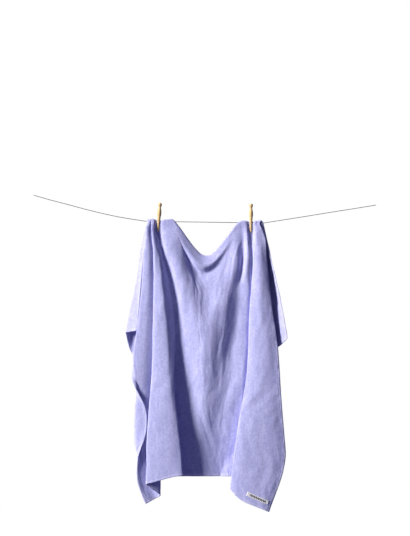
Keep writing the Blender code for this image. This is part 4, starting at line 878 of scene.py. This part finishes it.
def build_label(cloth, grid, tape, ink):
    """The woven label: a thin tape with a raised edge, and a generic zigzag woven into it."""
    tree = BVHTree.FromObject(cloth, bpy.context.evaluated_depsgraph_get())
    corner = grid[-1, -1]
    origin, along, up = label_place()

    def on_cloth(a, b, stand):
        start = origin + along * a + up * b
        hit, _, _, _ = tree.ray_cast(Vector((start[0], -0.3, start[2])), Vector((0, 1, 0)))
        return np.array(hit) + np.array([0, -1, 0]) * stand

    # tape: thin sheet with a slightly raised border; heights follow the cloth, eased along its length
    A = np.linspace(0, LABEL_LENGTH, LABEL_STEPS + 1)
    B = np.linspace(0, LABEL_HEIGHT, LABEL_LEVELS + 1)
    depth = np.array([[on_cloth(a, b, 0.0)[1] for a in A] for b in B])
    for _ in range(6):
        eased = depth.copy()
        eased[:, 1:-1] = np.minimum(depth[:, 1:-1], (depth[:, :-2] + depth[:, 2:]) / 2)
        depth = eased
    vertices, faces = [], []
    for layer, stand in ((0, 0.0002), (1, 0.0012)):
        for j, b in enumerate(B):
            for i, a in enumerate(A):
                p = origin + along * a + up * b
                rise = 0.0
                if layer:
                    border = min(i, LABEL_STEPS - i) / 2.0, min(j, LABEL_LEVELS - j) / 1.0
                    rise = 0.0003 if min(border) <= 1.0 else 0.0
                    if min(border) == 0:
                        rise = -0.0004
                vertices.append((p[0], depth[j, i] - stand - rise, p[2]))
    w = LABEL_STEPS + 1
    n = w * (LABEL_LEVELS + 1)
    for j in range(LABEL_LEVELS):
        for i in range(LABEL_STEPS):
            a = j * w + i
            faces.append((n + a, n + a + 1, n + a + w + 1, n + a + w))
            faces.append((a, a + w, a + w + 1, a + 1))
    ring = [i for i in range(w)] + [j * w + w - 1 for j in range(1, LABEL_LEVELS + 1)]
    ring += [LABEL_LEVELS * w + i for i in range(w - 2, -1, -1)] + [j * w for j in range(LABEL_LEVELS - 1, 0, -1)]
    for i, a in enumerate(ring):
        b = ring[(i + 1) % len(ring)]
        faces.append((a, b, n + b, n + a))
    patch = add_piece("label_tape", vertices, faces, tape)

    def height(a, b):
        i = min(max(a / LABEL_LENGTH * LABEL_STEPS, 0), LABEL_STEPS - 1e-6)
        j = min(max(b / LABEL_HEIGHT * LABEL_LEVELS, 0), LABEL_LEVELS - 1e-6)
        i0, j0 = int(i), int(j)
        u, v = i - i0, j - j0
        d = depth
        return ((d[j0, i0] * (1 - u) + d[j0, i0 + 1] * u) * (1 - v) + (d[j0 + 1, i0] * (1 - u) + d[j0 + 1, i0 + 1] * u) * v)

    # zigzag in dark thread
    left, middle = (LABEL_LENGTH - MARK_LENGTH) / 2, LABEL_HEIGHT / 2
    stroke = ZIGZAG_STROKE
    vertices, faces = [], []
    count = 2 * MARK_TEETH * 4
    for k in range(count + 1):
        a = left + MARK_LENGTH * k / count
        phase = (k / 4) % 2
        wave = 1 - 2 * abs(1 - phase)
        b = middle + wave * (ZIGZAG_HEIGHT / 2 - stroke / 2)
        for db, stand in ((-stroke / 2, 0.0012), (stroke / 2, 0.0012), (stroke / 2, 0.0017), (-stroke / 2, 0.0017)):
            p = origin + along * a + up * (b + db)
            vertices.append((p[0], height(a, b + db) - stand, p[2]))
        if k:
            c = 4 * (k - 1)
            for m in range(4):
                faces.append((c + m, c + (m + 1) % 4, c + 4 + (m + 1) % 4, c + 4 + m))
    faces.append((3, 2, 1, 0))
    c = 4 * count
    faces.append((c, c + 1, c + 2, c + 3))
    mark = add_piece("label_zigzag", vertices, faces, ink)
    return patch, mark


def label_place():
    """Where the CAD label lies: its lower left corner, its long direction and its short one."""
    corner_grid, _ = cloth_surface(PER_FOLD, FRONT_ROWS, BACK_ROWS)
    corner, along_end = corner_grid[-1, -1], corner_grid[-1, -9] - corner_grid[-1, -1]
    along = along_end / np.linalg.norm(along_end)
    along[1] = 0.0
    along /= np.linalg.norm(along)
    up = np.array([-along[2], 0.0, along[0]])
    up = up if up[2] > 0 else -up
    return corner + along * LABEL_FROM_SIDE + up * LABEL_FROM_END, along, up


# ---------------------------------------------------------------- line
def build_line(cord_material):
    """A thin laid cord, three strands round each other, along the CAD line's route."""
    path = np.array([((a - COLUMN_0) * SQUARE, 0.0, (ROW_0 - b) * SQUARE) for a, b in LINE_GRID])
    left, _ = spline(path[:8], 2)
    right, _ = spline(path[8:], 2)
    route = np.concatenate([left, right])
    total = lengths(route)[-1]
    rings = 620
    at = np.linspace(0, total, rings)
    points = at_length(route, at)
    sides = 12
    vertices, faces = [], []
    for i, p in enumerate(points):
        ahead = points[min(i + 1, rings - 1)] - points[max(i - 1, 0)]
        ahead /= np.linalg.norm(ahead)
        up = np.array([-ahead[2], 0.0, ahead[0]])
        end = min(at[i], total - at[i])
        close = math.sqrt(max(0.0, 1 - (1 - min(end / 0.0012, 1.0)) ** 2)) * 0.55 + 0.45
        for k in range(sides):
            turn = 2 * math.pi * k / sides
            strand = abs(math.cos(1.5 * (turn - at[i] / 0.0019)))
            radius = LINE_RADIUS * (0.86 + 0.14 * strand) * close
            vertices.append(p + (up * math.cos(turn) + np.array([0, 1, 0]) * math.sin(turn)) * radius)
    for i in range(rings - 1):
        for k in range(sides):
            a, b = i * sides + k, i * sides + (k + 1) % sides
            faces.append((a, b, b + sides, a + sides))
    faces.append(tuple(range(sides)))
    faces.append(tuple(range(len(vertices) - 1, len(vertices) - sides - 1, -1)))
    line = add_piece("line_cord", vertices, faces, cord_material)
    return line, points, total


# ---------------------------------------------------------------- pegs
def build_peg(name, tip, axis, wood):
    sides = 48
    profile, _ = spline(np.array([(h, r, 0.0) for h, r in PEG_PROFILE]), 4)
    vertices, faces = [(0, 0, 0)], []
    for height, radius, _ in profile:
        for k in range(sides):
            turn = 2 * math.pi * k / sides
            vertices.append((radius * math.cos(turn), radius * math.sin(turn), height))
    vertices.append((0, 0, PEG_LENGTH))
    last = len(vertices) - 1
    for i in range(len(profile) - 1):
        for k in range(sides):
            a, b = 1 + i * sides + k, 1 + i * sides + (k + 1) % sides
            faces.append((a, b, b + sides, a + sides))
    for k in range(sides):
        faces.append((0, 1 + (k + 1) % sides, 1 + k))
        a = 1 + (len(profile) - 1) * sides
        faces.append((a + k, a + (k + 1) % sides, last))
    peg = add_piece(name, vertices, faces, wood)
    turn = Vector((0, 0, 1)).rotation_difference(axis)
    outline = [(-PEG_SLOT / 2, -0.01), (PEG_SLOT / 2, -0.01)]
    outline += [(PEG_SLOT / 2 * math.cos(math.pi * k / 24),
                 PEG_SLOT_DEPTH - PEG_SLOT / 2 + PEG_SLOT / 2 * math.sin(math.pi * k / 24)) for k in range(25)]
    corners = [(x, y, z) for x in (-0.02, 0.02) for y, z in outline]
    n = len(outline)
    around = [tuple(range(n)), tuple(range(2 * n - 1, n - 1, -1))]
    around += [(i, n + i, n + (i + 1) % n, (i + 1) % n) for i in range(n)]
    cutter = add_piece(name + "_slot_cutter", corners, around, wood, False)
    cut = peg.modifiers.new("slot", "BOOLEAN")
    cut.operation, cut.solver, cut.object = "DIFFERENCE", "EXACT", cutter
    soften = peg.modifiers.new("worn_edges", "BEVEL")
    soften.width, soften.segments, soften.limit_method, soften.angle_limit = 0.0004, 2, "ANGLE", math.radians(50)
    graph = bpy.context.evaluated_depsgraph_get()
    mesh = bpy.data.meshes.new_from_object(peg.evaluated_get(graph))
    peg.modifiers.clear()
    peg.data = mesh
    bpy.data.objects.remove(cutter, do_unlink=True)
    # bake the placing into the mesh
    local = np.empty(len(mesh.vertices) * 3)
    mesh.vertices.foreach_get("co", local)
    local = local.reshape(-1, 3)
    place = np.array(turn.to_matrix()) @ local.T
    placed = place.T + np.array(tip)
    mesh.vertices.foreach_set("co", placed.ravel())
    mesh.update()
    mesh.polygons.foreach_set("use_smooth", np.ones(len(mesh.polygons), bool))
    mesh.update()
    for edge in mesh.edges:
        edge.use_edge_sharp = False
    try:
        mesh.set_sharp_from_angle(angle=math.radians(38))
    except AttributeError:
        pass
    return peg


# ---------------------------------------------------------------- materials
def new_material(name):
    made = bpy.data.materials.new(name)
    made.use_nodes = True
    tree = made.node_tree
    return made, tree, tree.nodes["Principled BSDF"]


def node(tree, kind, **values):
    made = tree.nodes.new(kind)
    for key, value in values.items():
        if key in made.inputs:
            made.inputs[key].default_value = value
        else:
            setattr(made, key, value)
    return made


def ramp(tree, stops, source):
    made = tree.nodes.new("ShaderNodeValToRGB")
    made.color_ramp.elements[0].position, made.color_ramp.elements[0].color = stops[0][0], (*stops[0][1], 1)
    made.color_ramp.elements[1].position, made.color_ramp.elements[1].color = stops[-1][0], (*stops[-1][1], 1)
    for at, colour in stops[1:-1]:
        made.color_ramp.elements.new(at).color = (*colour, 1)
    tree.links.new(source, made.inputs["Fac"])
    return made


def cloth_material(name, base, pale, deep, sheen, hem):
    made, tree, shader = new_material(name)
    links = tree.links
    place = node(tree, "ShaderNodeTexCoord")
    # nap: soft patches where the pile lies another way, long streaks down the cloth
    stretch = node(tree, "ShaderNodeMapping")
    stretch.inputs["Scale"].default_value = (1.0, 1.0, 0.30)
    links.new(place.outputs["Object"], stretch.inputs["Vector"])
    nap = node(tree, "ShaderNodeTexNoise", Scale=60.0, Detail=4.0, Roughness=0.62)
    links.new(stretch.outputs["Vector"], nap.inputs["Vector"])
    # ribs: the fine lines of the weave under the pile
    fine = node(tree, "ShaderNodeMapping")
    fine.inputs["Scale"].default_value = (1.0, 1.0, 0.12)
    links.new(place.outputs["Object"], fine.inputs["Vector"])
    ribs = node(tree, "ShaderNodeTexNoise", Scale=230.0, Detail=2.0, Roughness=0.5)
    links.new(fine.outputs["Vector"], ribs.inputs["Vector"])
    pile = node(tree, "ShaderNodeTexNoise", Scale=900.0, Detail=2.0, Roughness=0.6)
    links.new(place.outputs["Object"], pile.inputs["Vector"])
    mixed = node(tree, "ShaderNodeMix", data_type="FLOAT")
    mixed.inputs["Factor"].default_value = 0.42
    links.new(nap.outputs["Fac"], mixed.inputs["A"])
    links.new(ribs.outputs["Fac"], mixed.inputs["B"])
    mixed2 = node(tree, "ShaderNodeMix", data_type="FLOAT")
    mixed2.inputs["Factor"].default_value = 0.16
    links.new(mixed.outputs["Result"], mixed2.inputs["A"])
    links.new(pile.outputs["Fac"], mixed2.inputs["B"])
    # tufts: the pile's own clumps, a few millimetres across
    tufts = node(tree, "ShaderNodeTexNoise", Scale=120.0, Detail=3.0, Roughness=0.70)
    links.new(place.outputs["Object"], tufts.inputs["Vector"])
    mixed3 = node(tree, "ShaderNodeMix", data_type="FLOAT")
    mixed3.inputs["Factor"].default_value = 0.45
    links.new(mixed2.outputs["Result"], mixed3.inputs["A"])
    links.new(tufts.outputs["Fac"], mixed3.inputs["B"])
    colours = ramp(tree, ((0.39, deep), (0.50, base), (0.61, pale)), mixed3.outputs["Result"])
    links.new(colours.outputs["Color"], shader.inputs["Base Color"])
    shader.inputs["Roughness"].default_value = 0.92
    shader.inputs["Specular IOR Level"].default_value = 0.12
    shader.inputs["Sheen Weight"].default_value = sheen
    shader.inputs["Sheen Roughness"].default_value = 0.55
    shader.inputs["Sheen Tint"].default_value = (0.80, 0.80, 1.0, 1.0)
    relief = node(tree, "ShaderNodeBump", Strength=0.6, Distance=0.0022)
    links.new(mixed3.outputs["Result"], relief.inputs["Height"])
    links.new(relief.outputs["Normal"], shader.inputs["Normal"])
    return made


def thread_material(name, base, dark):
    made, tree, shader = new_material(name)
    place = node(tree, "ShaderNodeTexCoord")
    twist = node(tree, "ShaderNodeTexNoise", Scale=700.0, Detail=2.0, Roughness=0.5)
    tree.links.new(place.outputs["Object"], twist.inputs["Vector"])
    colours = ramp(tree, ((0.3, dark), (0.7, base)), twist.outputs["Fac"])
    tree.links.new(colours.outputs["Color"], shader.inputs["Base Color"])
    shader.inputs["Roughness"].default_value = 0.6
    shader.inputs["Sheen Weight"].default_value = 0.2
    relief = node(tree, "ShaderNodeBump", Strength=0.4, Distance=0.0003)
    tree.links.new(twist.outputs["Fac"], relief.inputs["Height"])
    tree.links.new(relief.outputs["Normal"], shader.inputs["Normal"])
    return made


def tape_material(name, base, dark, roughness=0.7):
    made, tree, shader = new_material(name)
    place = node(tree, "ShaderNodeTexCoord")
    stretch = node(tree, "ShaderNodeMapping")
    stretch.inputs["Rotation"].default_value = (0.0, math.radians(24), 0.0)
    tree.links.new(place.outputs["Object"], stretch.inputs["Vector"])
    weave = node(tree, "ShaderNodeTexWave", Scale=420.0, Distortion=0.6, Detail=1.0)
    weave.wave_type, weave.bands_direction = "BANDS", "Z"
    tree.links.new(stretch.outputs["Vector"], weave.inputs["Vector"])
    cross = node(tree, "ShaderNodeTexWave", Scale=420.0, Distortion=0.6, Detail=1.0)
    cross.wave_type, cross.bands_direction = "BANDS", "X"
    tree.links.new(stretch.outputs["Vector"], cross.inputs["Vector"])
    both = node(tree, "ShaderNodeMath", operation="MULTIPLY")
    tree.links.new(weave.outputs["Fac"], both.inputs[0])
    tree.links.new(cross.outputs["Fac"], both.inputs[1])
    colours = ramp(tree, ((0.0, dark), (0.8, base)), both.outputs["Value"])
    tree.links.new(colours.outputs["Color"], shader.inputs["Base Color"])
    shader.inputs["Roughness"].default_value = roughness
    relief = node(tree, "ShaderNodeBump", Strength=0.3, Distance=0.0002)
    tree.links.new(both.outputs["Value"], relief.inputs["Height"])
    tree.links.new(relief.outputs["Normal"], shader.inputs["Normal"])
    return made


def wood_material(name, axis):
    made, tree, shader = new_material(name)
    links = tree.links
    place = node(tree, "ShaderNodeTexCoord")
    stretch = node(tree, "ShaderNodeMapping")
    stretch.inputs["Scale"].default_value = (1.0, 1.0, 0.07)
    links.new(place.outputs["Object"], stretch.inputs["Vector"])
    grain = node(tree, "ShaderNodeTexNoise", Scale=900.0, Detail=5.0, Roughness=0.6, Distortion=0.4)
    links.new(stretch.outputs["Vector"], grain.inputs["Vector"])
    rings = node(tree, "ShaderNodeTexWave", Scale=160.0, Distortion=3.0, Detail=2.0)
    rings.wave_type, rings.bands_direction = "BANDS", "X"
    links.new(stretch.outputs["Vector"], rings.inputs["Vector"])
    mixed = node(tree, "ShaderNodeMix", data_type="FLOAT")
    mixed.inputs["Factor"].default_value = 0.35
    links.new(grain.outputs["Fac"], mixed.inputs["A"])
    links.new(rings.outputs["Fac"], mixed.inputs["B"])
    colours = ramp(tree, ((0.20, (0.50, 0.29, 0.09)), (0.52, (0.74, 0.52, 0.22)), (0.85, (0.84, 0.66, 0.34))),
                   mixed.outputs["Result"])
    links.new(colours.outputs["Color"], shader.inputs["Base Color"])
    rough = node(tree, "ShaderNodeMapRange")
    rough.inputs["To Min"].default_value, rough.inputs["To Max"].default_value = 0.48, 0.66
    links.new(mixed.outputs["Result"], rough.inputs["Value"])
    links.new(rough.outputs["Result"], shader.inputs["Roughness"])
    relief = node(tree, "ShaderNodeBump", Strength=0.35, Distance=0.0004)
    links.new(mixed.outputs["Result"], relief.inputs["Height"])
    links.new(relief.outputs["Normal"], shader.inputs["Normal"])
    return made


def cord_material(name):
    made, tree, shader = new_material(name)
    place = node(tree, "ShaderNodeTexCoord")
    fibre = node(tree, "ShaderNodeTexNoise", Scale=1400.0, Detail=3.0, Roughness=0.6)
    tree.links.new(place.outputs["Object"], fibre.inputs["Vector"])
    colours = ramp(tree, ((0.3, (0.030, 0.030, 0.036)), (0.7, (0.085, 0.085, 0.095))), fibre.outputs["Fac"])
    tree.links.new(colours.outputs["Color"], shader.inputs["Base Color"])
    shader.inputs["Roughness"].default_value = 0.55
    relief = node(tree, "ShaderNodeBump", Strength=0.4, Distance=0.0003)
    tree.links.new(fibre.outputs["Fac"], relief.inputs["Height"])
    tree.links.new(relief.outputs["Normal"], shader.inputs["Normal"])
    return made


# ---------------------------------------------------------------- studio
def add_sun(name, direction, energy, angle, colour):
    data = bpy.data.lights.new(name, "SUN")
    data.energy, data.angle, data.color = energy, angle, colour
    sun = bpy.data.objects.new(name, data)
    bpy.context.scene.collection.objects.link(sun)
    sun.rotation_euler = Vector(direction).to_track_quat("-Z", "Y").to_euler()


def studio():
    add_sun("key", (0.86, 0.42, -0.40), KEY, math.radians(16), (1.0, 0.985, 0.97))
    add_sun("fill", (0.25, 0.95, -0.15), FILL, math.radians(60), (0.75, 0.77, 1.0))
    add_sun("behind", (-0.45, -0.80, -0.40), BEHIND, math.radians(40), (0.85, 0.87, 1.0))
    world = bpy.data.worlds.new("studio")
    bpy.context.scene.world = world
    world.use_nodes = True
    tree = world.node_tree
    dim = tree.nodes["Background"]
    dim.inputs["Color"].default_value, dim.inputs["Strength"].default_value = (0.42, 0.43, 1.0, 1.0), AMBIENT
    white = node(tree, "ShaderNodeBackground")
    white.inputs["Color"].default_value, white.inputs["Strength"].default_value = (1, 1, 1, 1), 1.0
    path = node(tree, "ShaderNodeLightPath")
    mix = node(tree, "ShaderNodeMixShader")
    tree.links.new(path.outputs["Is Camera Ray"], mix.inputs["Fac"])
    tree.links.new(dim.outputs["Background"], mix.inputs[1])
    tree.links.new(white.outputs["Background"], mix.inputs[2])
    tree.links.new(mix.outputs["Shader"], tree.nodes["World Output"].inputs["Surface"])
    view = bpy.context.scene.view_settings
    view.view_transform, view.look, view.exposure, view.gamma = "Standard", "None", 0.0, 1.0


def floor():
    """A plain pale floor, far below the towel's lower edge."""
    z = -2.6
    mesh = bpy.data.meshes.new("studio_floor")
    mesh.from_pydata([(-9, -9, z), (9, -9, z), (9, 9, z), (-9, 9, z)], [], [(0, 1, 2, 3)])
    piece = bpy.data.objects.new("studio_floor", mesh)
    bpy.context.scene.collection.objects.link(piece)
    made, tree, shader = new_material("studio_floor")
    shader.inputs["Base Color"].default_value = (0.9, 0.9, 0.9, 1)
    shader.inputs["Emission Color"].default_value = (1, 1, 1, 1)
    shader.inputs["Emission Strength"].default_value = 1.0
    mesh.materials.append(made)
    piece.visible_diffuse = piece.visible_glossy = piece.visible_shadow = False
    piece.visible_transmission = False


KEY, FILL, AMBIENT, BEHIND = 6.0, 0.10, 0.15, 1.3


# ---------------------------------------------------------------- scene
def main():
    add_camera()
    studio()
    floor()

    cord = cord_material("line_cord")
    line, route, length = build_line(cord)
    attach(line, "line")
    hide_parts("clothes_line")

    velour = cloth_material("velour", (0.47, 0.47, 0.76), (0.56, 0.56, 0.84), (0.385, 0.385, 0.68), 0.35, False)
    hem_cloth = cloth_material("hem_cloth", (0.54, 0.54, 0.81), (0.62, 0.62, 0.88), (0.46, 0.46, 0.75), 0.35, True)
    cloth, grid, normal, thick, s, t, ridge = build_cloth(velour, hem_cloth)
    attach(cloth, "towel")
    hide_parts("towel_front_panel", "towel_back_panel", "front_end_hem", "back_end_hem",
                "left_side_hem", "right_side_hem")

    thread = thread_material("seam_thread", (0.72, 0.71, 0.90), (0.55, 0.54, 0.80))
    for where, skip in (("front", 0.012), ("back", 0.012), ("left", 0.012), ("right", 0.012)):
        path, across, thickness = stitch_path(grid, normal, thick, s, t, ridge, where)
        for side, sign in (("face", 1), ("inside", -1)):
            piece = build_stitches(f"{where}_stitches_{side}", path, across, thickness, sign, thread, skip, skip)
            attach(piece, "towel")
            if sign == 1:
                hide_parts({"front": "front_end_seam", "back": "back_end_seam", "left": "left_side_seam",
                                    "right": "right_side_seam"}[where])

    tape = tape_material("label_tape", (0.93, 0.92, 0.88), (0.80, 0.79, 0.76))
    ink = tape_material("label_thread", (0.035, 0.035, 0.05), (0.015, 0.015, 0.02))
    patch, mark = build_label(cloth, grid, tape, ink)
    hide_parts("label_patch")
    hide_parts("label_mark")
    for piece, slot in ((patch, "label_cloth"), (mark, "label_print")):
        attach(piece, "towel")

    for (tip, axis), name, body in zip(peg_axes(), ("left", "right"), ("peg_left", "peg_right")):
        peg = build_peg(name + "_dolly_peg", tip, axis, wood_material(name + "_peg_wood", axis))
        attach(peg, body)
        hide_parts(name + "_peg")


main()
